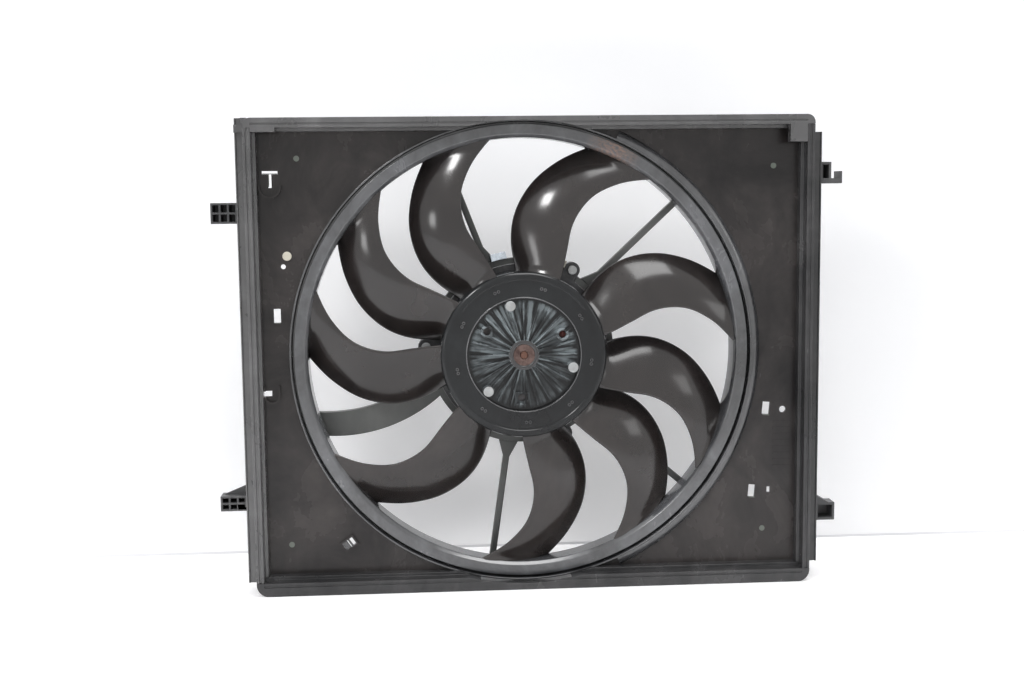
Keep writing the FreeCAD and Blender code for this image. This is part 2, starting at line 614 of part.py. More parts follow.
def right_mount_hooks():
    """Two hooks: the upper turns up at its end, the lower has a sloping back."""
    root, edge = BODY_HALF, SHROUD_W / 2
    tip = edge + HOOK_REACH
    pocket_d = TAB_D1 - WALL
    z = INNER_TOP - UPPER_HOOK_DOWN
    block = box(root, edge + HOOK_BLOCK_W, TAB_D0, TAB_D1, z, z + HOOK_BLOCK_H)
    pocket = box(edge + HOOK_WALL, edge + HOOK_BLOCK_W - HOOK_WALL, 0, pocket_d,
                 z + HOOK_T, z + HOOK_BLOCK_H - HOOK_WALL)
    shelf = box(root, tip, TAB_D0, TAB_D1, z, z + HOOK_T)
    toe = box(tip - HOOK_TOE_W, tip, TAB_D0, TAB_D1, z, z + HOOK_TOE_H)
    upper = fuse_all([block.cut(pocket), shelf, toe])
    z = INNER_LOW + LOWER_HOOK_UP
    end = tip - HOOK_WALL
    lower = plate([(root, z), (end, z), (end, z + LOWER_HOOK_TOE_H),
                   (end - HOOK_TOE_H / 2, z + LOWER_HOOK_TOE_H), (edge, z + LOWER_HOOK_H),
                   (root, z + LOWER_HOOK_H)], TAB_D0, TAB_D1)
    scoop = box(edge + HOOK_WALL, end - HOOK_WALL, 0, pocket_d,
                z + HOOK_WALL, z + LOWER_HOOK_TOE_H - HOOK_WALL)
    return Part.makeCompound([upper, lower.cut(scoop)])


def push_plug():
    """Cream plastic plug pressed through the panel."""
    head = rod(PLUG_HEAD_R, PANEL_DEPTH - PLUG_HEAD_H, PANEL_DEPTH, PLUG_X, PLUG_Z)
    return head.fuse(rod(PLUG_R, PANEL_DEPTH, PANEL_BACK + PLUG_TAIL, PLUG_X, PLUG_Z))


def wire_clips():
    """Two wire clips that sit on the carrier ring."""
    clips = []
    d0, d1 = CARRIER_FRONT - WIRE_CLIP_RISE, STRUT_FRONT - SEAT
    r0, r1 = CARRIER_R_OUT, CARRIER_R_OUT + WIRE_CLIP_REACH
    for angle, width in WIRE_CLIPS:
        body = radial_bar(r0 - 1, r1, width, d0, d1, angle)
        slit = radial_bar(r0 + WIRE_CLIP_WALL, r1 - WIRE_CLIP_WALL, width + 1,
                          d0 + WIRE_CLIP_WALL, d1 + 1, angle)
        clips.append(cut_all(body, [slit, bored(r0)]))
    return Part.makeCompound(clips)


# ---- fan --------------------------------------------------------------------------
def fan_hub():
    """Cup over the motor with a rounded edge, a ribbed dish and a centre boss."""
    face, floor = FACE_DEPTH, DISH_FLOOR
    boss = HUB_FRONT + BOSS_SET_BACK
    bevel = HUB_EDGE * (1 - math.sqrt(0.5))
    rim = HUB_R - HUB_EDGE
    hub = revolved([
        (BUSH_R, boss), (BOSS_R, boss), (BOSS_R, floor), (DISH_R, floor), (DISH_R, face),
        (rim - HUB_RIM_W - HUB_RECESS, face), (rim - HUB_RIM_W, HUB_FRONT), (rim, HUB_FRONT),
        (HUB_R - bevel, HUB_FRONT + bevel), (HUB_R, HUB_FRONT + HUB_EDGE), (HUB_R, HUB_BACK),
        (HUB_R - HUB_WALL, HUB_BACK), (HUB_R - HUB_WALL, face + HUB_WALL),
        (DISH_R + HUB_WALL, face + HUB_WALL), (DISH_R + HUB_WALL, ROTOR_FRONT),
        (BUSH_R, ROTOR_FRONT)])
    ribs = [radial_bar(BOSS_R - 1, DISH_R - DISH_STEP, HUB_RIB_T, face + BOSS_SET_BACK,
                       floor, i * 360 / HUB_RIBS) for i in range(HUB_RIBS)]
    pads = [rod(HUB_SCREW_HEAD_R + SCREW_PAD_W, face, floor, *polar(SCREW_CIRCLE_R, a))
            for a in SCREW_ANGLES]
    holes = [bored(HUB_SCREW_R, *polar(SCREW_CIRCLE_R, a)) for a in SCREW_ANGLES]
    holes += [bored(VENT_R, *polar(VENT_CIRCLE_R, a)) for a in VENT_ANGLES]
    return cut_all(hub.multiFuse(ribs + pads), holes + [bored(BUSH_R)]).removeSplitter()


def blade_point(station, share, side):
    """Point on the front (-1) or rear (+1) skin of a blade at a share of its chord."""
    span, lead, trail, d_lead, d_trail = station
    r = HUB_R + BLADE_SEAT + span * (RING_R - HUB_R - 2 * BLADE_SEAT)
    arc = math.radians(trail - lead) * r
    rise = d_trail - d_lead
    chord = math.hypot(arc, rise)
    bulge = 4 * share * (1 - share)
    thick = BLADE_EDGE_T + (BLADE_T - BLADE_EDGE_T) * math.sqrt(bulge)
    off = side * thick / 2 - CAMBER * bulge
    angle = math.radians(lead) + (arc * share - off * rise / chord) / r
    depth = HUB_FRONT + d_lead + rise * share + off * arc / chord
    return Vec(FAN_X + r * math.cos(angle), FRONT_Y + depth, FAN_Z + r * math.sin(angle))


def section_curve(station, side):
    """Smooth curve along the chord of one skin at one station of the blade."""
    curve = Part.BSplineCurve()
    shares = END_SHARES if station[0] in (0.0, 1.0) else CHORD_SHARES
    curve.interpolate([blade_point(station, share, side) for share in shares])
    return curve.toShape()


def blade():
    """Forward-swept, cambered blade, ruled from station to station."""
    skins = [[section_curve(s, side) for s in BLADE_STATIONS] for side in (-1, 1)]
    edges = [[Part.LineSegment(blade_point(s, share, -1), blade_point(s, share, 1)).toShape()
              for s in BLADE_STATIONS] for share in (CHORD_SHARES[0], CHORD_SHARES[-1])]
    faces = [Part.makeRuledSurface(strip[i], strip[i + 1])
             for strip in skins + edges for i in range(len(strip) - 1)]
    faces += [Part.makeRuledSurface(skins[0][end], skins[1][end]) for end in (0, -1)]
    shell = Part.makeShell(faces)
    shell.sewShape()
    solid = Part.makeSolid(Part.Shell(shell.Faces))
    if solid.Volume < 0:
        solid.reverse()
    return solid


def fan_blades():
    """Nine equal blades at uneven spacing."""
    one = blade()
    return Part.makeCompound([spun(one, FIRST_BLADE + sum(BLADE_GAPS[:i]))
                              for i in range(len(BLADE_GAPS))])


def fan_ring():
    """Band around the blade tips, flared into a flat lip with a short skirt."""
    r, t, cut = RING_R, RING_T, LIP_CHAMFER
    front, skirt = LIP_FRONT, LIP_FRONT + LIP_SKIRT
    return revolved([
        (r, RING_BACK), (r, front + cut), (r + cut, front), (LIP_R, front), (LIP_R, skirt),
        (LIP_R - t, skirt), (LIP_R - t, front + t), (r + t, front + t), (r + t, RING_BACK)])


def hub_screws():
    """Three screws that hold the fan to the rotor."""
    screws = []
    for angle in SCREW_ANGLES:
        place = polar(SCREW_CIRCLE_R, angle)
        head = rod(HUB_SCREW_HEAD_R, FACE_DEPTH - HUB_SCREW_HEAD_H, FACE_DEPTH, *place)
        screws.append(head.fuse(rod(HUB_SCREW_R, FACE_DEPTH, ROTOR_FRONT + ROTOR_T, *place)))
    return Part.makeCompound(screws)


# ---- motor, turning parts ---------------------------------------------------------
def hub_bush():
    """Steel bush in the boss of the hub, pressed on the shaft."""
    return tube(BUSH_R, SHAFT_R, BUSH_FRONT, ROTOR_FRONT)


def shaft():
    return rod(SHAFT_R, SHAFT_FRONT, REAR_BEARING + BEARING_W + SHAFT_TAIL)


def rotor_can():
    """Steel cup that carries the magnets, spinning inside the hub."""
    web, inner = ROTOR_FRONT + ROTOR_T, ROTOR_R - ROTOR_T
    cup = revolved([(SHAFT_R, ROTOR_FRONT), (ROTOR_R, ROTOR_FRONT), (ROTOR_R, ROTOR_BACK),
                    (inner, ROTOR_BACK), (inner, web), (SHAFT_R, web)])
    return cut_all(cup, [bored(HUB_SCREW_R, *polar(SCREW_CIRCLE_R, a)) for a in SCREW_ANGLES])


def rotor_magnets():
    """Curved magnets inside the rim of the rotor."""
    step = 360.0 / MAGNETS
    d0, d1 = CORE_FRONT - MAGNET_OVER, CORE_BACK + MAGNET_OVER
    ring = Part.makeCylinder(MAGNET_R, d1 - d0, Vec(FAN_X, FRONT_Y + d0, FAN_Z),
                             Vec(0, 1, 0), step - MAGNET_GAP_DEG)
    one = ring.cut(bored(MAGNET_R - MAGNET_T))
    return Part.makeCompound([spun(one, i * step) for i in range(MAGNETS)])


# ---- motor, fixed parts -----------------------------------------------------------
def motor_base():
    """Cast base: flange on the carrier ring, bearing tube and electronics cup."""
    body = revolved([
        (BEARING_R, BASE_FRONT - TUBE_AHEAD), (TUBE_R, BASE_FRONT - TUBE_AHEAD),
        (TUBE_R, BASE_FRONT), (CARRIER_R_IN - SEAT, BASE_FRONT),
        (CARRIER_R_IN - SEAT, BASE_BACK), (CUP_R, BASE_BACK), (CUP_R, CUP_BACK),
        (CUP_R - CUP_WALL, CUP_BACK), (CUP_R - CUP_WALL, BASE_BACK), (0, BASE_BACK),
        (0, REAR_BEARING + BEARING_W + SHAFT_TAIL + SEAT),
        (BEARING_R, REAR_BEARING + BEARING_W + SHAFT_TAIL + SEAT)])
    lugs = [motor_lug(LUG_PAD_R, BASE_FRONT, BASE_BACK, a) for a in LUG_ANGLES]
    half = BOARD_HALF * math.sqrt(0.5) - POST_W / 2
    posts = [box(FAN_X + sx * half - POST_W / 2, FAN_X + sx * half + POST_W / 2, BASE_BACK,
                 BOARD_DEPTH, FAN_Z + sz * half - POST_W / 2, FAN_Z + sz * half + POST_W / 2)
             for sx in (-1, 1) for sz in (-1, 1)]
    holes = [rod(MOTOR_SCREW_R, 0, BASE_BACK + 1, *polar(LUG_R, a)) for a in LUG_ANGLES]
    return cut_all(body.multiFuse(lugs + posts), holes).removeSplitter()


def bearings():
    """Two ball bearings, each a plain ring."""
    rings = [tube(BEARING_R, SHAFT_R + RUNNING, d, d + BEARING_W)
             for d in (FRONT_BEARING, REAR_BEARING)]
    return Part.makeCompound(rings)


def stator_core():
    """Laminated core: a yoke with T-shaped teeth, pressed on the bearing tube."""
    tip_half = STATOR_R * math.tan(math.radians(180.0 / TEETH - TOOTH_SLOT_DEG / 2))
    reach = STATOR_R * math.cos(math.radians(180.0 / TEETH - TOOTH_SLOT_DEG / 2))
    neck, half = reach - TOOTH_TIP_T, TOOTH_W / 2
    profile = []
    for i in range(TEETH):
        turn = math.radians(i * 360.0 / TEETH)
        for r, w in ((YOKE_R, -half), (neck, -half), (neck, -tip_half), (reach, -tip_half),
                     (reach, tip_half), (neck, tip_half), (neck, half), (YOKE_R, half)):
            w = w * reach / STATOR_R
            profile.append((FAN_X + r * math.cos(turn) - w * math.sin(turn),
                            FAN_Z + r * math.sin(turn) + w * math.cos(turn)))
    return plate(profile, CORE_FRONT, CORE_BACK).cut(bored(TUBE_R))


def stator_windings():
    """One coil around each tooth, kept apart by the middle of the slots."""
    half = math.pi / TEETH
    r0 = YOKE_R + SEAT
    r1 = STATOR_R * math.cos(half) - TOOTH_TIP_T - SEAT
    width = TOOTH_W / 2
    coils = []
    for i in range(TEETH):
        d0, d1 = CORE_FRONT - COIL_T, CORE_BACK + COIL_T
        inner_w = min(width + COIL_T, r0 * math.tan(half) - SEAT)
        outer_w = min(width + COIL_T, r1 * math.tan(half) - SEAT)
        ring = plate([(FAN_X + r0, FAN_Z - inner_w), (FAN_X + r1, FAN_Z - outer_w),
                      (FAN_X + r1, FAN_Z + outer_w), (FAN_X + r0, FAN_Z + inner_w)], d0, d1)
        room = box(FAN_X + r0 - 1, FAN_X + r1 + 1, CORE_FRONT, CORE_BACK,
                   FAN_Z - width, FAN_Z + width)
        coils.append(spun(ring.cut(room), i * 360.0 / TEETH))
    return Part.makeCompound(coils)


def control_board():
    """Eight-sided circuit board on four posts."""
    corner = BOARD_HALF / math.cos(math.pi / 8)
    corners = [polar(corner, 22.5 + 45.0 * i) for i in range(8)]
    return plate(corners, BOARD_DEPTH, BOARD_DEPTH + BOARD_T)


def power_transistors():
    """Flat packages on the circuit board, each in line with the fan axis."""
    length, width, height = TRANSISTOR_SIZE
    d0 = BOARD_DEPTH + BOARD_T
    return Part.makeCompound([radial_bar(TRANSISTOR_R - length / 2, TRANSISTOR_R + length / 2,
                                         width, d0, d0 + height, i * 360.0 / TRANSISTORS)
                              for i in range(TRANSISTORS)])


def motor_cover():
    """Finned rear cover of the electronics."""
    pieces = [rod(CUP_R, CUP_BACK, COVER_BACK)]
    reach = CUP_R - COVER_EDGE
    for i in range(FINS):
        across = (i - (FINS - 1) / 2) * FIN_PITCH
        far = abs(across) + FIN_T / 2
        if far < reach:
            half = math.sqrt(reach ** 2 - far ** 2)
            pieces.append(box(FAN_X + across - FIN_T / 2, FAN_X + across + FIN_T / 2,
                              COVER_BACK - 1, COVER_BACK + FIN_H, FAN_Z - half, FAN_Z + half))
    return fuse_all(pieces)


def motor_screws():
    """Three screws through the base into the lugs of the carrier ring."""
    screws = []
    for a in LUG_ANGLES:
        head = rod(MOTOR_HEAD_R, BASE_FRONT - MOTOR_HEAD_H, BASE_FRONT, *polar(LUG_R, a))
        shank = rod(MOTOR_SCREW_R, BASE_FRONT, RIM_DEPTH - LUG_FLOOR - SEAT, *polar(LUG_R, a))
        screws.append(head.fuse(shank))
    return Part.makeCompound(screws)


def motor_socket():
    """Plug socket on the side of the electronics cup, its mouth facing outwards."""
    d0, d1 = SOCKET_FRONT, SOCKET_FRONT + SOCKET_D
    end = CUP_R + SOCKET_LEN
    shell = radial_bar(CUP_R / 2, end, SOCKET_W, d0, d1, SOCKET_ANGLE)
    mouth = radial_bar(end - SOCKET_MOUTH, end + 1, SOCKET_W - 2 * SOCKET_WALL,
                       d0 + SOCKET_WALL, d1 - SOCKET_WALL, SOCKET_ANGLE)
    return cut_all(shell, [mouth, bored(CUP_R)])


def socket_pins():
    """Three flat contacts that stand on the floor of the socket."""
    middle = SOCKET_FRONT + SOCKET_D / 2
    floor = FAN_X + CUP_R + SOCKET_LEN - SOCKET_MOUTH
    pins = []
    for i in (-1, 0, 1):
        z = FAN_Z + i * PIN_PITCH
        pin = box(floor, floor + PIN_LEN, middle - PIN_T / 2, middle + PIN_T / 2,
                  z - PIN_W / 2, z + PIN_W / 2)
        pins.append(spun(pin, SOCKET_ANGLE))
    return Part.makeCompound(pins)


NODES = (
    top_rail, bottom_rail, left_rail, right_rail, shroud_panel, panel_ribs, fan_duct,
    carrier_ring, struts, cable_strut, left_mount_tabs, right_mount_hooks, push_plug,
    wire_clips, fan_hub, fan_blades, fan_ring, hub_screws, hub_bush, shaft, rotor_can,
    rotor_magnets, motor_base, bearings, stator_core, stator_windings, control_board,
    power_transistors, motor_cover, motor_screws, motor_socket, socket_pins,
)

os.makedirs("parts", exist_ok=True)
for make in NODES:
    shape = make()
    if not shape.isValid():
        print(make.__name__, "is not valid")
    print("%-18s solids %2d  volume %9.0f" % (make.__name__, len(shape.Solids), shape.Volume))
    shape.exportStep("parts/" + make.__name__ + ".step")
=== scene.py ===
"""Looks of a radiator fan shroud, built around its packed construction.

Metres. +Z up, +X to the right as seen from the radiator, -Y towards the radiator.
"Depth" is the distance behind the front rim plane, the plane that meets the radiator.
Angles turn anticlockwise from +X as seen from the radiator.
"""

import logging
import math
from dataclasses import dataclass
from enum import Enum

import bmesh
import bpy
from mathutils import Matrix, Vector


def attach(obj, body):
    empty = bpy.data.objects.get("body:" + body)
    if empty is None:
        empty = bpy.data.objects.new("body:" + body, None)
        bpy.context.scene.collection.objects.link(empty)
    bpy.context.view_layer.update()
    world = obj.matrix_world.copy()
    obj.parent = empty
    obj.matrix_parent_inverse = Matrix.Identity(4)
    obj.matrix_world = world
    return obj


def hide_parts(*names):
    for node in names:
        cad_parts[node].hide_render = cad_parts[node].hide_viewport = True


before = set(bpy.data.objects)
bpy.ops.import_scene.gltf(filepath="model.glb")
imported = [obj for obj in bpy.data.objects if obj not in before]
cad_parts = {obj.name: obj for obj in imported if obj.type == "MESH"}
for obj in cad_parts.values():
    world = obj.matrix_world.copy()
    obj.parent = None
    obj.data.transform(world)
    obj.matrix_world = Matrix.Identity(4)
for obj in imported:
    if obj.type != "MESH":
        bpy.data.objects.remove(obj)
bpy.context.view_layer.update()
LOG = logging.getLogger("fan_shroud")
MM = 0.001


class Body(Enum):
    """The two bodies that pieces ride on."""

    SHROUD = "shroud"
    ROTOR = "rotor"


def node_box(name: str) -> tuple:
    """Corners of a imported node's box.

    Args:
        name: Name of the node.

    Returns:
        The lowest and the highest corner.
    """
    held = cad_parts[name]
    points = [held.matrix_world @ Vector(corner) for corner in held.bound_box]
    low = Vector([min(p[i] for p in points) for i in range(3)])
    high = Vector([max(p[i] for p in points) for i in range(3)])
    return low, high


RAIL_LOW, RAIL_HIGH = node_box("top_rail")
HUB_LOW, HUB_HIGH = node_box("fan_hub")
PANEL_LOW, PANEL_HIGH = node_box("shroud_panel")
FRONT_Y = RAIL_LOW.y
AXIS_X = (HUB_LOW.x + HUB_HIGH.x) / 2
AXIS_Z = (HUB_LOW.z + HUB_HIGH.z) / 2
HUB_R = (HUB_HIGH.x - HUB_LOW.x) / 2
LEFT_EDGE_X = node_box("left_rail")[0].x
ROUND_SHADING = math.radians(40.0)      # edges below this angle are shaded as one surface


def polar(radius: float, angle: float, depth: float) -> Vector:
    """Point about the fan axis.

    Args:
        radius: Distance from the axis.
        angle: Degrees from +X.
        depth: Distance behind the rim plane.

    Returns:
        The point in the frame.
    """
    a = math.radians(angle)
    return Vector((AXIS_X + radius * math.cos(a), FRONT_Y + depth,
                   AXIS_Z + radius * math.sin(a)))


# ---- material nodes ---------------------------------------------------------------
class MaterialBuilder:
    """Small helper that adds and links shader nodes of one material."""

    def __init__(self, name: str) -> None:
        """Start a node material with one surface shader.

        Args:
            name: Name of the material.
        """
        self.material = bpy.data.materials.new(name)
        self.material.use_nodes = True
        self.tree = self.material.node_tree
        self.tree.nodes.clear()
        self.output = self.tree.nodes.new("ShaderNodeOutputMaterial")
        self.shader = self.tree.nodes.new("ShaderNodeBsdfPrincipled")
        self.tree.links.new(self.shader.outputs["BSDF"], self.output.inputs["Surface"])
        self.coords = self.tree.nodes.new("ShaderNodeTexCoord")

    def link(self, source: bpy.types.NodeSocket, target: bpy.types.NodeSocket) -> None:
        """Link two sockets."""
        self.tree.links.new(source, target)

    def noise(self, scale: float, detail: float = 3.0, rough: float = 0.5,
              stretch: tuple = (1.0, 1.0, 1.0), bend: float = 0.0) -> bpy.types.NodeSocket:
        """Noise on object coordinates.

        Args:
            scale: Cells per metre.
            detail: Octaves of finer noise.
            rough: Strength of the finer octaves.
            stretch: Scale of the pattern along each axis.
            bend: How far the pattern is distorted.

        Returns:
            The noise value socket.
        """
        mapping = self.tree.nodes.new("ShaderNodeMapping")
        mapping.inputs["Scale"].default_value = stretch
        self.link(self.coords.outputs["Object"], mapping.inputs["Vector"])
        node = self.tree.nodes.new("ShaderNodeTexNoise")
        node.inputs["Scale"].default_value = scale
        node.inputs["Detail"].default_value = detail
        node.inputs["Roughness"].default_value = rough
        node.inputs["Distortion"].default_value = bend
        self.link(mapping.outputs["Vector"], node.inputs["Vector"])
        return node.outputs["Fac"]

    def from_axis(self) -> bpy.types.NodeSocket:
        """Distance from the fan axis.

        Returns:
            The distance socket, in metres.
        """
        shift = self.tree.nodes.new("ShaderNodeMapping")
        shift.inputs["Location"].default_value = (-AXIS_X, 0.0, -AXIS_Z)
        shift.inputs["Scale"].default_value = (1.0, 0.0, 1.0)
        self.link(self.coords.outputs["Object"], shift.inputs["Vector"])
        length = self.tree.nodes.new("ShaderNodeVectorMath")
        length.operation = "LENGTH"
        self.link(shift.outputs["Vector"], length.inputs[0])
        return length.outputs["Value"]

    def spokes(self, around: float, outward: float) -> bpy.types.NodeSocket:
        """Noise drawn out into streaks that run away from the fan axis.

        Args:
            around: Fineness around the axis.
            outward: Fineness along the streaks, in cells per metre.

        Returns:
            The noise value socket.
        """
        parts = self.tree.nodes.new("ShaderNodeSeparateXYZ")
        self.link(self.coords.outputs["Object"], parts.inputs["Vector"])
        angle = self.math("ARCTAN2", self.math("SUBTRACT", parts.outputs["Z"], AXIS_Z),
                          self.math("SUBTRACT", parts.outputs["X"], AXIS_X))
        joined = self.tree.nodes.new("ShaderNodeCombineXYZ")
        self.link(self.math("MULTIPLY", angle, around), joined.inputs["X"])
        self.link(self.math("MULTIPLY", self.from_axis(), outward), joined.inputs["Y"])
        node = self.tree.nodes.new("ShaderNodeTexNoise")
        node.inputs["Scale"].default_value = 1.6
        node.inputs["Detail"].default_value = 4.0
        self.link(joined.outputs["Vector"], node.inputs["Vector"])
        return node.outputs["Fac"]

    def spot(self, centre: tuple, outer: float, inner: float) -> bpy.types.NodeSocket:
        """Soft round spot about a point.

        Args:
            centre: Middle of the spot.
            outer: Distance at which it has faded out.
            inner: Distance within which it is full.

        Returns:
            The share socket.
        """
        gap = self.tree.nodes.new("ShaderNodeVectorMath")
        gap.operation = "DISTANCE"
        gap.inputs[1].default_value = centre
        self.link(self.coords.outputs["Object"], gap.inputs[0])
        return self.remap(gap.outputs["Value"], outer, inner, 0.0, 0.8)

    def height(self) -> bpy.types.NodeSocket:
        """Height above the floor.

        Returns:
            The height socket, in metres.
        """
        parts = self.tree.nodes.new("ShaderNodeSeparateXYZ")
        self.link(self.coords.outputs["Object"], parts.inputs["Vector"])
        return parts.outputs["Z"]

    def remap(self, value: bpy.types.NodeSocket, low: float, high: float,
              to_low: float, to_high: float) -> bpy.types.NodeSocket:
        """Map a value from one range to another, clamped.

        Args:
            value: Socket to map.
            low: Start of the source range.
            high: End of the source range.
            to_low: Result at the start.
            to_high: Result at the end.

        Returns:
            The mapped value socket.
        """
        node = self.tree.nodes.new("ShaderNodeMapRange")
        node.inputs["From Min"].default_value = low
        node.inputs["From Max"].default_value = high
        node.inputs["To Min"].default_value = to_low
        node.inputs["To Max"].default_value = to_high
        self.link(value, node.inputs["Value"])
        return node.outputs["Result"]

    def mix(self, factor: bpy.types.NodeSocket, first: object,
            second: object) -> bpy.types.NodeSocket:
        """Mix two colours, each a socket or a plain colour.

        Args:
            factor: Share of the second colour.
            first: Socket or (r, g, b).
            second: Socket or (r, g, b).

        Returns:
            The mixed colour socket.
        """
        node = self.tree.nodes.new("ShaderNodeMix")
        node.data_type = "RGBA"
        self.link(factor, node.inputs[0])
        for socket, colour in ((node.inputs[6], first), (node.inputs[7], second)):
            if isinstance(colour, tuple):
                socket.default_value = (*colour, 1.0)
            else:
                self.link(colour, socket)
        return node.outputs[2]

    def math(self, kind: str, first: bpy.types.NodeSocket, second: object) -> bpy.types.NodeSocket:
        """Combine a socket with a number or another socket.

        Args:
            kind: Name of the math operation.
            first: Left operand.
            second: Right operand, a number or a socket.

        Returns:
            The result socket.
        """
        node = self.tree.nodes.new("ShaderNodeMath")
        node.operation = kind
        self.link(first, node.inputs[0])
        if isinstance(second, (int, float)):
            node.inputs[1].default_value = second
        else:
            self.link(second, node.inputs[1])
        return node.outputs[0]

    def bump(self, height: bpy.types.NodeSocket, strength: float, distance: float) -> None:
        """Give the surface a fine relief.

        Args:
            height: Height socket.
            strength: Strength of the relief.
            distance: Real depth in metres.
        """
        node = self.tree.nodes.new("ShaderNodeBump")
        node.inputs["Strength"].default_value = strength
        node.inputs["Distance"].default_value = distance
        self.link(height, node.inputs["Height"])
        self.link(node.outputs["Normal"], self.shader.inputs["Normal"])


# ---- finishes ---------------------------------------------------------------------
@dataclass(frozen=True)
class MouldedPlastic:
    """Black moulded plastic with a skin gloss, handling marks and settled dust, and where asked a
    painted floor reflection low down, painted light on the top of the hub's dish and a painted
    coppery reflection on one spot.
    """

    name: str
    base: tuple
    dust: tuple
    dust_share: float
    rough_low: float
    rough_high: float
    grain: float = 0.25
    specular: float = 0.5
    skin: float = 0.0
    low_floor_reflection: float = 0.0
    dish_dust_and_top_light: float = 0.0
    dish_r: float = 0.054
    painted_reflection_at: tuple = ()

    def build(self) -> bpy.types.Material:
        """Make the node material.

        Returns:
            The finished material.
        """
        mat = MaterialBuilder(self.name)
        clouds = mat.noise(8.0, 6.0, 0.62, bend=0.6)
        smears = mat.noise(26.0, 4.0, 0.60, (1.0, 1.0, 0.6), 0.5)
        specks = mat.noise(800.0, 2.0, 0.7)
        film_and_painted_light = mat.math("MULTIPLY", mat.remap(clouds, 0.36, 0.66, 0.0, 1.0),
                        mat.remap(smears, 0.32, 0.66, 0.3, 1.0))
        film_and_painted_light = mat.math("MULTIPLY", film_and_painted_light, self.dust_share)
        # Lighter towards the bottom: painted reflection of the floor, laid on as extra film.
        if self.low_floor_reflection:
            low = mat.remap(mat.height(), 0.20, 0.0, 0.0, self.low_floor_reflection)
            film_and_painted_light = mat.math("ADD", film_and_painted_light, mat.math("MULTIPLY", low, clouds))
        if self.dish_dust_and_top_light:
            streaks = mat.remap(mat.spokes(5.5, 14.0), 0.44, 0.66, 0.0, 1.0)
            streaks = mat.math("MULTIPLY", streaks,
                               mat.remap(mat.noise(42.0, 3.0), 0.40, 0.60, 0.25, 1.0))
            dish = mat.remap(mat.from_axis(), self.dish_r, self.dish_r - 0.004, 0.0,
                             self.dish_dust_and_top_light)
            # The dish's dust streaks grow stronger towards the top: painted light from above.
            upper = mat.remap(mat.height(), AXIS_Z - 0.030, AXIS_Z + 0.020, 0.30, 1.0)
            dish = mat.math("MULTIPLY", dish, upper)
            film_and_painted_light = mat.math("ADD", film_and_painted_light, mat.math("MULTIPLY", dish, streaks))
        grit = mat.remap(specks, 0.68, 0.80, 0.0, self.dust_share * 0.8)
        cover = mat.math("MINIMUM", mat.math("MAXIMUM", film_and_painted_light, grit), 1.0)
        tint = mat.mix(cover, self.base, self.dust)
        # Painted coppery reflection on one spot of the band.
        if self.painted_reflection_at:
            painted_reflection = mat.math("MULTIPLY", mat.spot(self.painted_reflection_at, 0.030, 0.006),
                             mat.remap(mat.spokes(40.0, 300.0), 0.35, 0.65, 0.1, 0.8))
            tint = mat.mix(painted_reflection, tint, (0.26, 0.135, 0.085))
        mat.link(tint, mat.shader.inputs["Base Color"])
        rough = mat.remap(mat.math("ADD", film_and_painted_light, mat.remap(smears, 0.25, 0.75, 0.0, 0.45)),
                          0.0, 0.9, self.rough_low, self.rough_high)
        mat.link(rough, mat.shader.inputs["Roughness"])
        mat.shader.inputs["Specular IOR Level"].default_value = self.specular
        mat.shader.inputs["Coat Weight"].default_value = self.skin
        mat.shader.inputs["Coat Roughness"].default_value = 0.11
        mat.bump(mat.noise(1500.0, 2.0, 0.5), self.grain, 0.00006)
        return mat.material


@dataclass(frozen=True)
class Metal:
    """Bare or plated metal with fine brushing and stains."""

    name: str
    base: tuple
    stain: tuple
    stain_share: float
    rough: float
    metallic: float = 1.0
    grain_scale: float = 700.0
    grain_depth: float = 0.00008

    def build(self) -> bpy.types.Material:
        """Make the node material.

        Returns:
            The finished material.
        """
        mat = MaterialBuilder(self.name)
        blotch = mat.remap(mat.noise(120.0, 5.0, 0.65), 0.42, 0.62, 0.0, self.stain_share)
        mat.link(mat.mix(blotch, self.base, self.stain), mat.shader.inputs["Base Color"])
        spread = mat.remap(mat.noise(260.0, 3.0, 0.6), 0.3, 0.7, self.rough * 0.75,
                           min(1.0, self.rough * 1.35))
        mat.link(spread, mat.shader.inputs["Roughness"])
        mat.shader.inputs["Metallic"].default_value = self.metallic
        mat.bump(mat.noise(self.grain_scale, 3.0, 0.6), 0.35, self.grain_depth)
        return mat.material


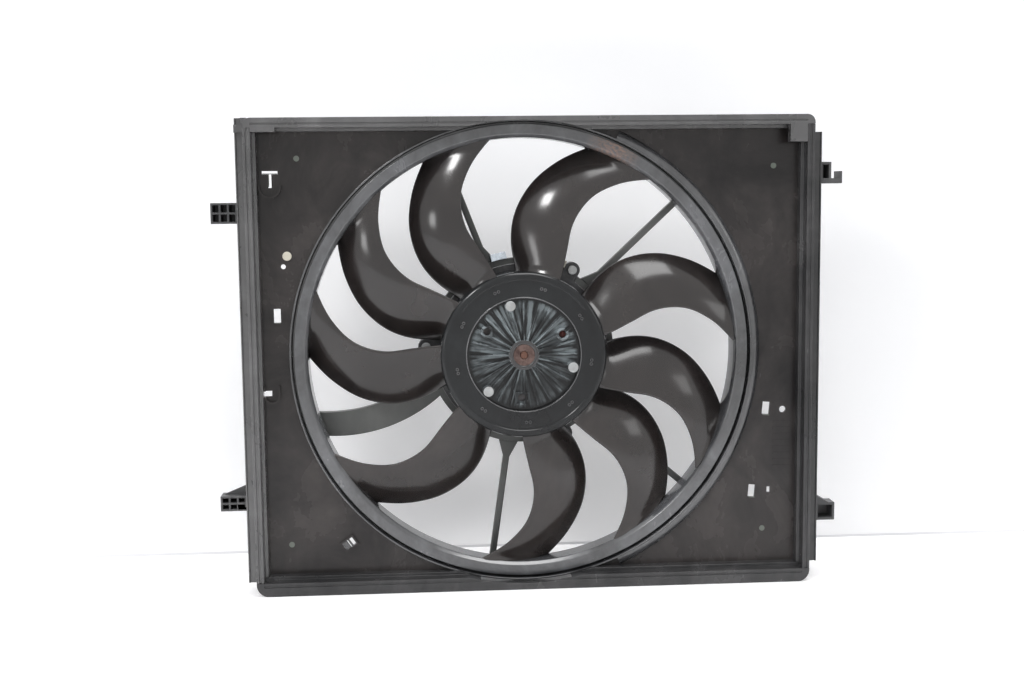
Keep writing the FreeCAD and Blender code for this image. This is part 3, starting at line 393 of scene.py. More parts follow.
class Finishes:
    """Every finish of the part, built once."""

    def __init__(self) -> None:
        """Build all materials."""
        black = (0.0115, 0.0100, 0.0100)
        dust = (0.158, 0.138, 0.130)
        self.rail = MouldedPlastic("rail_black", (0.015, 0.015, 0.016), (0.20, 0.195, 0.195),
                                   0.36, 0.16, 0.36, 0.2, 0.5, 0.2).build()
        # Lighter copy of the rail finish for the top and left rails and the corner cap: painted
        # light falling from the upper left.
        self.painted_lit_rail = MouldedPlastic("rail_painted_lit", (0.040, 0.0395, 0.040),
                                        (0.24, 0.235, 0.235), 0.50, 0.2, 0.42, 0.3, 0.8,
                                        0.4).build()
        self.panel = MouldedPlastic("panel_black", black, dust, 0.36, 0.16, 0.38, 0.3, 0.28,
                                    0.14, 0.12).build()
        self.duct = MouldedPlastic("duct_black", (0.020, 0.0203, 0.0214), (0.20, 0.20, 0.21),
                                   0.50, 0.12, 0.32, 0.15, 0.9, 0.5, 0.15).build()
        self.band = MouldedPlastic("band_black", (0.028, 0.0284, 0.0298), (0.23, 0.235, 0.25),
                                   0.55, 0.12, 0.32, 0.15, 0.9, 0.5, 0.15,
                                   painted_reflection_at=tuple(polar(0.2195, 65.5, 0.020))).build()
        self.blade = MouldedPlastic("blade_black", (0.0125, 0.0098, 0.0092),
                                    (0.170, 0.138, 0.124), 0.12, 0.13, 0.32, 0.12, 0.5, 0.30,
                                    0.24).build()
        self.hub = MouldedPlastic("hub_black", (0.0095, 0.0100, 0.0108), (0.25, 0.285, 0.295),
                                  0.05, 0.10, 0.30, 0.12, 0.28, 0.18, 0.0, 2.8).build()
        self.strut = MouldedPlastic("strut_grey", (0.058, 0.061, 0.058), (0.18, 0.18, 0.17),
                                    0.5, 0.32, 0.55, 0.4, 0.5, 0.1).build()
        self.clip_bracket = MouldedPlastic("bracket_grey", (0.040, 0.041, 0.043),
                                           (0.20, 0.195, 0.19), 0.5, 0.35, 0.6, 0.3).build()
        self.cream = MouldedPlastic("cream_nylon", (0.72, 0.68, 0.57), (0.42, 0.37, 0.30),
                                    0.4, 0.35, 0.6, 0.1).build()
        self.pale_mark = MouldedPlastic("gate_mark_grey", (0.13, 0.15, 0.125),
                                        (0.24, 0.24, 0.22), 0.5, 0.4, 0.6, 0.2).build()
        self.grey_clip = Metal("clip_zinc", (0.62, 0.68, 0.74), (0.25, 0.26, 0.28), 0.4,
                               0.28).build()
        self.zinc = Metal("zinc_plate", (0.44, 0.45, 0.45), (0.26, 0.25, 0.24), 0.4, 0.5,
                          0.6).build()
        self.rust = Metal("rusty_steel", (0.155, 0.102, 0.088), (0.050, 0.028, 0.024), 0.95,
                          0.50, 0.5, 700.0, 0.0004).build()
        self.deep_rust = Metal("deep_rust", (0.17, 0.055, 0.045), (0.06, 0.02, 0.018), 0.7,
                               0.7, 0.2, 900.0, 0.0002).build()
        self.shaft = Metal("worn_shaft", (0.14, 0.07, 0.05), (0.06, 0.028, 0.022), 0.7, 0.5,
                           0.6).build()
        self.coated = Metal("black_coated_alloy", (0.045, 0.045, 0.047), (0.12, 0.12, 0.12),
                            0.35, 0.45, 0.3, 1300.0, 0.0002).build()
        self.alloy = Metal("cast_alloy", (0.50, 0.50, 0.51), (0.24, 0.24, 0.24), 0.45, 0.5,
                           0.9, 1300.0, 0.0002).build()
        self.can = Metal("oxide_steel", (0.10, 0.098, 0.10), (0.06, 0.045, 0.04), 0.6,
                         0.5).build()
        self.steel = Metal("drawn_steel", (0.42, 0.42, 0.43), (0.2, 0.19, 0.18), 0.4,
                           0.38).build()
        self.copper = Metal("enamelled_copper", (0.62, 0.26, 0.12), (0.3, 0.11, 0.05), 0.5,
                            0.35).build()
        self.ferrite = Metal("ferrite", (0.08, 0.08, 0.085), (0.05, 0.05, 0.05), 0.5, 0.6,
                             0.2).build()
        self.board = MouldedPlastic("board_green", (0.02, 0.14, 0.06), (0.05, 0.2, 0.1),
                                    0.3, 0.3, 0.5, 0.1).build()
        self.brass = Metal("contact_brass", (0.7, 0.55, 0.3), (0.4, 0.3, 0.15), 0.3,
                           0.3).build()


# ---- mesh helpers -----------------------------------------------------------------
def new_piece(name: str, shape: bmesh.types.BMesh,
              finish: bpy.types.Material) -> bpy.types.Object:
    """Make an object from a bmesh, shaded smooth, and free the bmesh.

    Args:
        name: Name of the piece.
        shape: Its shape, in the frame.
        finish: Its material.

    Returns:
        The new piece.
    """
    bmesh.ops.recalc_face_normals(shape, faces=shape.faces)
    mesh = bpy.data.meshes.new(name)
    shape.to_mesh(mesh)
    shape.free()
    mesh.materials.append(finish)
    for polygon in mesh.polygons:
        polygon.use_smooth = True
    mesh.set_sharp_from_angle(angle=ROUND_SHADING)
    piece = bpy.data.objects.new(name, mesh)
    bpy.context.collection.objects.link(piece)
    return piece


def bake_modifiers(piece: bpy.types.Object) -> bpy.types.Object:
    """Turn the evaluated object into a plain mesh and drop its modifiers.

    Args:
        piece: Object with live modifiers.

    Returns:
        The same object with a plain mesh.
    """
    depsgraph = bpy.context.evaluated_depsgraph_get()
    result = bpy.data.meshes.new_from_object(piece.evaluated_get(depsgraph))
    piece.modifiers.clear()
    old = piece.data
    piece.data = result
    bpy.data.meshes.remove(old)
    return piece


def settle(piece: bpy.types.Object, body: Body) -> bpy.types.Object:
    """Let a finished piece ride on its body, and report it.

    Args:
        piece: The piece.
        body: The body it rides on.

    Returns:
        The same piece.
    """
    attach(piece, body.value)
    LOG.info("%s rides on %s: %d faces", piece.name, body.value, len(piece.data.polygons))
    return piece


def add_ring(shape: bmesh.types.BMesh, centre: Vector, profile: list, steps: int,
             start: float = 0.0, sweep: float = 360.0) -> None:
    """Sweep a closed profile about an axis along the depth.

    Args:
        shape: Shape that the ring is added to.
        centre: Point of the axis at the rim plane.
        profile: Closed profile of (radius, depth) corners.
        steps: Facets along the sweep.
        start: First angle in degrees.
        sweep: Swept angle in degrees, a full ring when 360.
    """
    full = abs(sweep - 360.0) < 1e-6
    loops = []
    for i in range(steps if full else steps + 1):
        a = math.radians(start + sweep * i / steps)
        loops.append([shape.verts.new((centre.x + r * math.cos(a), centre.y + d,
                                       centre.z + r * math.sin(a))) for r, d in profile])
    count = len(profile)
    for i in range(steps):
        here, there = loops[i], loops[(i + 1) % len(loops)]
        for j in range(count):
            shape.faces.new((here[j], here[(j + 1) % count], there[(j + 1) % count], there[j]))
    if not full:
        shape.faces.new(loops[0])
        shape.faces.new(reversed(loops[-1]))


def add_turned(shape: bmesh.types.BMesh, centre: Vector, profile: list, steps: int) -> None:
    """Turn an open profile about an axis along the depth; its ends lie on the axis.

    Args:
        shape: Shape that the turned form is added to.
        centre: Point of the axis at the rim plane.
        profile: (radius, depth) corners, the first and the last at radius 0.
        steps: Facets around.
    """
    tip = shape.verts.new((centre.x, centre.y + profile[0][1], centre.z))
    tail = shape.verts.new((centre.x, centre.y + profile[-1][1], centre.z))
    rings = []
    for r, d in profile[1:-1]:
        rings.append([shape.verts.new((centre.x + r * math.cos(math.tau * i / steps),
                                       centre.y + d,
                                       centre.z + r * math.sin(math.tau * i / steps)))
                      for i in range(steps)])
    for i in range(steps):
        k = (i + 1) % steps
        shape.faces.new((tip, rings[0][i], rings[0][k]))
        shape.faces.new((tail, rings[-1][k], rings[-1][i]))
        for here, there in zip(rings, rings[1:]):
            shape.faces.new((here[i], there[i], there[k], here[k]))


class SmoothShell:
    """A rounded-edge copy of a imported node, for crisp moulded highlights."""

    def __init__(self, node: str, edge_mm: float, blend_deg: float = 35.0,
                 segments: int = 2) -> None:
        """Remember what to copy.

        Args:
            node: Name of the node.
            edge_mm: Width of the rounded edges.
            blend_deg: Edges below this angle are shaded as one curved surface.
            segments: Facets across each rounded edge.
        """
        self.node = node
        self.edge = edge_mm * MM
        self.blend = math.radians(blend_deg)
        self.segments = segments

    def build(self, body: Body, finish: bpy.types.Material) -> bpy.types.Object:
        """Copy the node's mesh, merge it, round its edges and let it replace the node.

        Args:
            body: The body it rides on.
            finish: Its material.

        Returns:
            The finished piece.
        """
        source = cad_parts[self.node]
        mesh = source.data.copy()
        mesh.name = self.node + "_skin"
        shell = bmesh.new()
        shell.from_mesh(mesh)
        bmesh.ops.remove_doubles(shell, verts=shell.verts, dist=1e-6)
        bmesh.ops.dissolve_limit(shell, angle_limit=math.radians(0.6), verts=shell.verts,
                                 edges=shell.edges, use_dissolve_boundaries=False)
        shell.to_mesh(mesh)
        shell.free()
        mesh.materials.clear()
        mesh.materials.append(finish)
        piece = bpy.data.objects.new(self.node + "_skin", mesh)
        bpy.context.collection.objects.link(piece)
        bevel = piece.modifiers.new("rounded_edges", "BEVEL")
        bevel.width = self.edge
        bevel.segments = self.segments
        bevel.limit_method = "ANGLE"
        bevel.angle_limit = self.blend * 0.9
        bevel.use_clamp_overlap = True
        baked = bake_modifiers(piece)
        for polygon in baked.data.polygons:
            polygon.use_smooth = True
        baked.data.set_sharp_from_angle(angle=self.blend)
        level = baked.modifiers.new("level_faces", "WEIGHTED_NORMAL")
        level.keep_sharp = True
        level.weight = 100
        bake_modifiers(baked)
        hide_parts(self.node)
        return settle(baked, body)


def finish_node(node: str, finish: bpy.types.Material) -> None:
    """Give a carried-over node its material.

    Args:
        node: Name of the node.
        finish: Its material.
    """
    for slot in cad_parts[node].material_slots:
        slot.material = finish


# ---- patterns made with geometry nodes --------------------------------------------
class Lay(Enum):
    """How copies of an element are laid out."""

    RING = "ring about the fan axis"
    PLACES = "one at each vertex"


class Pattern:
    """Geometry-nodes tree that repeats one element and ends in a plain mesh."""

    def __init__(self, name: str, lay: Lay) -> None:
        """Build the tree with its named inputs.

        Args:
            name: Name of the pattern.
            lay: Its layout.
        """
        self.name = name
        self.tree = bpy.data.node_groups.new(name, "GeometryNodeTree")
        self.inputs = {}
        self._socket("Geometry", "NodeSocketGeometry")
        self.tree.interface.new_socket("Geometry", in_out="OUTPUT",
                                       socket_type="NodeSocketGeometry")
        self.entry = self.tree.nodes.new("NodeGroupInput")
        self.exit = self.tree.nodes.new("NodeGroupOutput")
        if lay is Lay.RING:
            copies = self._ring()
        else:
            copies = self._places()
        realize = self._node("GeometryNodeRealizeInstances")
        paint = self._node("GeometryNodeSetMaterial")
        self._socket("Material", "NodeSocketMaterial")
        self._link(copies, realize.inputs["Geometry"])
        self._link(realize.outputs["Geometry"], paint.inputs["Geometry"])
        self._link(self.entry.outputs["Material"], paint.inputs["Material"])
        self._link(paint.outputs["Geometry"], self.exit.inputs["Geometry"])

    def _node(self, kind: str) -> bpy.types.Node:
        """Add a node of a kind."""
        return self.tree.nodes.new(kind)

    def _link(self, source: bpy.types.NodeSocket, target: bpy.types.NodeSocket) -> None:
        """Link two sockets."""
        self.tree.links.new(source, target)

    def _socket(self, name: str, kind: str) -> None:
        """Add a named input and remember its identifier.

        Args:
            name: Name of the input.
            kind: Type of the socket.
        """
        item = self.tree.interface.new_socket(name, in_out="INPUT", socket_type=kind)
        self.inputs[name] = item.identifier

    def _math(self, kind: str, first: bpy.types.NodeSocket,
              second: object) -> bpy.types.NodeSocket:
        """Add a math node.

        Args:
            kind: Name of the operation.
            first: Left operand.
            second: Right operand, a number or a socket.

        Returns:
            The result socket.
        """
        node = self._node("ShaderNodeMath")
        node.operation = kind
        self._link(first, node.inputs[0])
        if isinstance(second, (int, float)):
            node.inputs[1].default_value = second
        else:
            self._link(second, node.inputs[1])
        return node.outputs[0]

    def _ring(self) -> bpy.types.NodeSocket:
        """Copies of the incoming element at even angles about the fan axis.

        Returns:
            The socket of the placed copies.
        """
        for name, kind in (("Count", "NodeSocketInt"), ("Radius", "NodeSocketFloat"),
                           ("Start", "NodeSocketFloat"), ("Step", "NodeSocketFloat"),
                           ("Depth", "NodeSocketFloat"), ("Uneven", "NodeSocketFloat"),
                           ("Seed", "NodeSocketInt")):
            self._socket(name, kind)
        given = self.entry.outputs
        points = self._node("GeometryNodePoints")
        self._link(given["Count"], points.inputs["Count"])
        index = self._node("GeometryNodeInputIndex").outputs["Index"]
        stray = self._node("FunctionNodeRandomValue")
        stray.data_type = "FLOAT"
        floats = [s for s in stray.inputs if s.type == "VALUE"]
        floats[0].default_value = -1.0
        floats[1].default_value = 1.0
        self._link(given["Seed"], stray.inputs["Seed"])
        drawn = [s for s in stray.outputs if s.type == "VALUE"][0]
        wobble = self._math("MULTIPLY", drawn, given["Uneven"])
        turns = self._math("ADD", self._math("MULTIPLY", index, given["Step"]),
                           given["Start"])
        angle = self._math("RADIANS", self._math("ADD", turns, wobble), 0.0)
        out_x = self._math("MULTIPLY", self._math("COSINE", angle, 0.0), given["Radius"])
        out_z = self._math("MULTIPLY", self._math("SINE", angle, 0.0), given["Radius"])
        place = self._node("ShaderNodeCombineXYZ")
        self._link(self._math("ADD", out_x, AXIS_X), place.inputs["X"])
        self._link(self._math("ADD", given["Depth"], FRONT_Y), place.inputs["Y"])
        self._link(self._math("ADD", out_z, AXIS_Z), place.inputs["Z"])
        put = self._node("GeometryNodeSetPosition")
        self._link(points.outputs[0], put.inputs["Geometry"])
        self._link(place.outputs["Vector"], put.inputs["Position"])
        turn = self._node("ShaderNodeCombineXYZ")
        self._link(self._math("MULTIPLY", angle, -1.0), turn.inputs["Y"])
        copies = self._node("GeometryNodeInstanceOnPoints")
        self._link(put.outputs["Geometry"], copies.inputs["Points"])
        self._link(given["Geometry"], copies.inputs["Instance"])
        self._link(turn.outputs["Vector"], copies.inputs["Rotation"])
        return copies.outputs["Instances"]

    def _places(self) -> bpy.types.NodeSocket:
        """A low round dot at each vertex of the incoming mesh.

        Returns:
            The socket of the placed dots.
        """
        for name, kind in (("Dot radius", "NodeSocketFloat"), ("Dot height", "NodeSocketFloat"),
                           ("Sides", "NodeSocketInt")):
            self._socket(name, kind)
        given = self.entry.outputs
        dot = self._node("GeometryNodeMeshCylinder")
        self._link(given["Sides"], dot.inputs["Vertices"])
        self._link(given["Dot radius"], dot.inputs["Radius"])
        self._link(given["Dot height"], dot.inputs["Depth"])
        turn = self._node("ShaderNodeCombineXYZ")
        turn.inputs["X"].default_value = math.pi / 2
        copies = self._node("GeometryNodeInstanceOnPoints")
        self._link(given["Geometry"], copies.inputs["Points"])
        self._link(dot.outputs["Mesh"], copies.inputs["Instance"])
        self._link(turn.outputs["Vector"], copies.inputs["Rotation"])
        return copies.outputs["Instances"]

    def spread(self, element: bpy.types.Object, finish: bpy.types.Material,
               **values: float) -> bpy.types.Object:
        """Run the tree on an element and keep the result as a plain mesh.

        Args:
            element: Object that holds the element, or the vertices of the places.
            finish: Material of the result.
            values: Inputs by name, with underscores for spaces.

        Returns:
            The same object with the spread mesh.
        """
        modifier = element.modifiers.new(self.name, "NODES")
        modifier.node_group = self.tree
        modifier[self.inputs["Material"]] = finish
        for name, value in values.items():
            modifier[self.inputs[name.replace("_", " ")]] = value
        baked = bake_modifiers(element)
        for polygon in baked.data.polygons:
            polygon.use_smooth = True
        baked.data.set_sharp_from_angle(angle=ROUND_SHADING)
        return baked


# ---- shroud moulding --------------------------------------------------------------
@dataclass
class ShroudMoulding:
    """Rails, panel, ribs, tabs and hooks with the small marks of their mould."""

    finishes: Finishes
    panel_depth: float = 0.024
    rail_edge_mm: float = 0.9
    thin_edge_mm: float = 0.5
    gate_r: float = 0.0028
    gate_rise: float = 0.0006
    ejector_r: float = 0.0034
    groove_lift: float = 0.0006
    bead_r: float = 0.0005
    bead_sides: int = 10
    latch_length: float = 0.0078
    latch_tilt_deg: float = 35.0
    cap_size: tuple = (0.0120, 0.0085, 0.0140)
    cap_round: float = 0.0065

    def build(self) -> None:
        """Build and dress the whole moulding."""
        given = self.finishes
        for node, finish in (("top_rail", given.painted_lit_rail), ("left_rail", given.painted_lit_rail),
                             ("bottom_rail", given.rail), ("right_rail", given.rail)):
            SmoothShell(node, self.rail_edge_mm).build(Body.SHROUD, finish)
        for node in ("shroud_panel", "panel_ribs", "motor_socket"):
            SmoothShell(node, self.thin_edge_mm).build(Body.SHROUD, given.panel)
        for node in ("left_mount_tabs", "right_mount_hooks"):
            SmoothShell(node, self.thin_edge_mm).build(Body.SHROUD, given.clip_bracket)
        SmoothShell("push_plug", 0.9, 35.0, 3).build(Body.SHROUD, given.cream)
        self._gate_marks()
        self._ejector_marks()
        self._slot_sills()
        self._clip_latch()
        self._corner_cap()
        self._rail_beads()

    def _inside(self, across: float, up: float) -> Vector:
        """Point on the front of the panel.

        Args:
            across: Distance from the left edge of the panel, or from the right if negative.
            up: Distance from its lower edge, or from the top if negative.

        Returns:
            The point in the frame.
        """
        x = PANEL_LOW.x + across if across >= 0 else PANEL_HIGH.x + across
        z = PANEL_LOW.z + up if up >= 0 else PANEL_HIGH.z + up
        return Vector((x, FRONT_Y + self.panel_depth, z))

    def _dots(self, name: str, places: list, radius: float, rise: float,
              finish: bpy.types.Material) -> None:
        """Low round dots on the panel.

        Args:
            name: Name of the piece.
            places: Points on the front of the panel.
            radius: Radius of a dot.
            rise: Height of a dot.
            finish: Its material.
        """
        spots = bmesh.new()
        for place in places:
            spots.verts.new(place)
        holder = new_piece(name, spots, finish)
        pattern = Pattern(name + "_pattern", Lay.PLACES)
        settle(pattern.spread(holder, finish, Dot_radius=radius, Dot_height=2 * rise, Sides=20),
               Body.SHROUD)

    def _gate_marks(self) -> None:
        """Pale marks where the melt entered the mould."""
        places = [self._inside(0.0405, -0.0285), self._inside(-0.0275, -0.0395),
                  self._inside(0.0255, 0.0325), self._inside(-0.0355, 0.0365)]
        self._dots("gate_marks", places, self.gate_r, self.gate_rise, self.finishes.pale_mark)

    def _ejector_marks(self) -> None:
        """Faint round marks of the ejector pins, in a loose grid near the corners."""
        places = [self._inside(side * (0.018 + 0.021 * i), up)
                  for side in (1, -1) for i in (0, 1, 2)
                  for up in (0.016, -0.018 - 0.004 * i)]
        self._dots("ejector_marks", places, self.ejector_r, self.gate_rise / 3,
                   self.finishes.panel)

    def _slot_sills(self) -> None:
        """Bright worn sills below the three clip slots."""
        sills = bmesh.new()
        for across, up, width, height, tilt in (
                (0.0178, 0.2548, 0.0062, 0.0009, 0.0),
                (-0.0326, 0.1536, 0.0068, 0.0009, -5.0),
                (-0.0466, 0.0692, 0.0062, 0.0009, -5.0),
                (0.0145, -0.0430, 0.0150, 0.0008, 0.0),
                (0.0134, -0.0495, 0.0009, 0.0120, 0.0)):
            centre = self._inside(across, up)
            turn = Matrix.Rotation(math.radians(-tilt), 4, "Y")
            size = Matrix.Diagonal((width, self.groove_lift * 2, height, 1.0))
            bmesh.ops.create_cube(sills, size=1.0,
                                  matrix=Matrix.Translation(centre) @ turn @ size)
        bmesh.ops.bevel(sills, geom=sills.edges[:], offset=0.0002, segments=1,
                        affect="EDGES")
        settle(new_piece("slot_sills", sills, self.finishes.pale_mark), Body.SHROUD)

    def _clip_latch(self) -> None:
        """Springy tongue in the tilted clip at the lower left."""
        latch = bmesh.new()
        centre = self._inside(0.0825, 0.0325) - Vector((0.0, 0.0012, 0.0))
        turn = Matrix.Rotation(math.radians(-self.latch_tilt_deg), 4, "Y")
        for shift, width in ((-0.0030, 0.0056), (0.0016, 0.0020)):
            size = Matrix.Diagonal((width, 0.0022 - 0.3 * width, self.latch_length, 1.0))
            place = Matrix.Translation(centre) @ turn @ Matrix.Translation((shift, 0, 0))
            bmesh.ops.create_cube(latch, size=1.0, matrix=place @ size)
        bmesh.ops.bevel(latch, geom=latch.edges[:], offset=0.0003, segments=2,
                        affect="EDGES")
        settle(new_piece("clip_latch", latch, self.finishes.duct), Body.SHROUD)

    def _corner_cap(self) -> None:
        """Rounded corner that joins the left flange to the top rail."""
        cap = bmesh.new()
        size = Vector(self.cap_size)
        centre = Vector((LEFT_EDGE_X + size.x / 2, FRONT_Y + 0.0003 + size.y / 2,
                         RAIL_HIGH.z - size.z / 2))
        bmesh.ops.create_cube(cap, size=1.0, matrix=Matrix.Translation(centre)
                              @ Matrix.Diagonal((*size, 1.0)))
        corner = [e for e in cap.edges
                  if all(v.co.x < centre.x and v.co.z > centre.z for v in e.verts)]
        bmesh.ops.bevel(cap, geom=corner, offset=self.cap_round, segments=8, affect="EDGES")
        rim = [e for e in cap.edges if all(v.co.y < centre.y for v in e.verts)]
        bmesh.ops.bevel(cap, geom=rim, offset=0.0006, segments=2, affect="EDGES")
        settle(new_piece("corner_cap", cap, self.finishes.painted_lit_rail), Body.SHROUD)

    def _rail_beads(self) -> None:
        """Fine upright beads along both side rails, which catch the light."""
        beads = bmesh.new()
        for x, depth, low, high in ((-0.2742, 0.0, 0.030, 0.440), (-0.2796, 0.006, 0.020, 0.450),
                                    (0.2702, 0.0, 0.030, 0.438), (0.2748, 0.0, 0.020, 0.445),
                                    (0.2786, 0.006, 0.030, 0.440),
                                    (0.2808, 0.006, 0.060, 0.446)):
            rings = []
            for z in (low, low + 0.001, high - 0.001, high):
                r = 0.0002 if z in (low, high) else self.bead_r
                turns = [math.tau * i / self.bead_sides for i in range(self.bead_sides)]
                rings.append([beads.verts.new((x + r * math.cos(a), FRONT_Y + depth + 0.0001
                                               + min(r, r * math.sin(a) + r), z))
                              for a in turns])
            for here, there in zip(rings, rings[1:]):
                for i in range(self.bead_sides):
                    k = (i + 1) % self.bead_sides
                    beads.faces.new((here[i], here[k], there[k], there[i]))
            beads.faces.new(rings[0])
            beads.faces.new(reversed(rings[-1]))
        settle(new_piece("rail_beads", beads, self.finishes.duct), Body.SHROUD)


@dataclass
class DuctAndCarrier:
    """Round duct with its knurled crest, the arms and the ring that holds the motor."""

    finishes: Finishes
    knurl_r: float = 0.2328
    knurl_depth: float = 0.0192
    shoulder_deg: float = 66.0
    knurl_pitch_deg: float = 0.62
    knurl_size: tuple = (0.0024, 0.0008, 0.0010)
    cream_turn_deg: float = 3.5

    def build(self) -> None:
        """Build and dress the duct and the carrier."""
        given = self.finishes
        SmoothShell("fan_duct", 0.6, 50.0, 3).build(Body.SHROUD, given.duct)
        SmoothShell("carrier_ring", 0.7, 40.0).build(Body.SHROUD, given.strut)
        SmoothShell("struts", 1.4, 30.0, 3).build(Body.SHROUD, given.strut)
        SmoothShell("cable_strut", 1.0, 40.0, 3).build(Body.SHROUD, given.strut)
        clips = SmoothShell("wire_clips", 0.5).build(Body.SHROUD, given.cream)
        self._two_clips(clips)
        self._shoulder()
        self._knurls()

    def _shoulder(self) -> None:
        """Rounded shoulder from the crest of the duct down to the panel, on the right."""
        profile = [(0.2297, 0.0184), (0.2312, 0.0183), (0.2330, 0.0187), (0.2350, 0.0196),
                   (0.2368, 0.0210), (0.2380, 0.0226), (0.2386, 0.0241), (0.2297, 0.0241)]
        shoulder = bmesh.new()
        add_ring(shoulder, polar(0.0, 0.0, 0.0), profile, 64, -self.shoulder_deg,
                 2 * self.shoulder_deg)
        settle(new_piece("duct_shoulder", shoulder, self.finishes.duct), Body.SHROUD)

    def _two_clips(self, clips: bpy.types.Object) -> None:
        """Give the clip on the left its bright metal finish.

        Args:
            clips: Both clips in one piece.
        """
        clips.data.materials.append(self.finishes.grey_clip)
        for polygon in clips.data.polygons:
            if polygon.center.x < AXIS_X:
                polygon.material_index = 1
        axis = Vector((AXIS_X, 0.0, AXIS_Z))
        turn = Matrix.Rotation(math.radians(self.cream_turn_deg), 3, "Y")
        for corner in clips.data.vertices:
            if corner.co.x > AXIS_X:
                corner.co = turn @ (corner.co - axis) + axis

    def _knurls(self) -> None:
        """Short radial notch ribs just outside the duct, on the right."""
        for name, start, count in (("knurls_upper", 15.0, 80), ("knurls_lower", -16.0, 26)):
            bar = bmesh.new()
            size = Matrix.Diagonal((*self.knurl_size, 1.0))
            bmesh.ops.create_cube(bar, size=1.0, matrix=size)
            bmesh.ops.bevel(bar, geom=bar.edges[:], offset=0.00018, segments=1,
                            affect="EDGES")
            holder = new_piece(name, bar, self.finishes.duct)
            pattern = Pattern(name + "_pattern", Lay.RING)
            settle(pattern.spread(holder, self.finishes.duct, Count=count,
                                  Radius=self.knurl_r, Start=start,
                                  Step=self.knurl_pitch_deg, Depth=self.knurl_depth,
                                  Uneven=0.10, Seed=4), Body.SHROUD)


# ---- fan --------------------------------------------------------------------------
@dataclass(frozen=True)
class BladeStation:
    """Where the two edges of a blade lie at one share of its span."""

    span: float
    lead_deg: float
    trail_deg: float
    lead_depth: float
    trail_depth: float


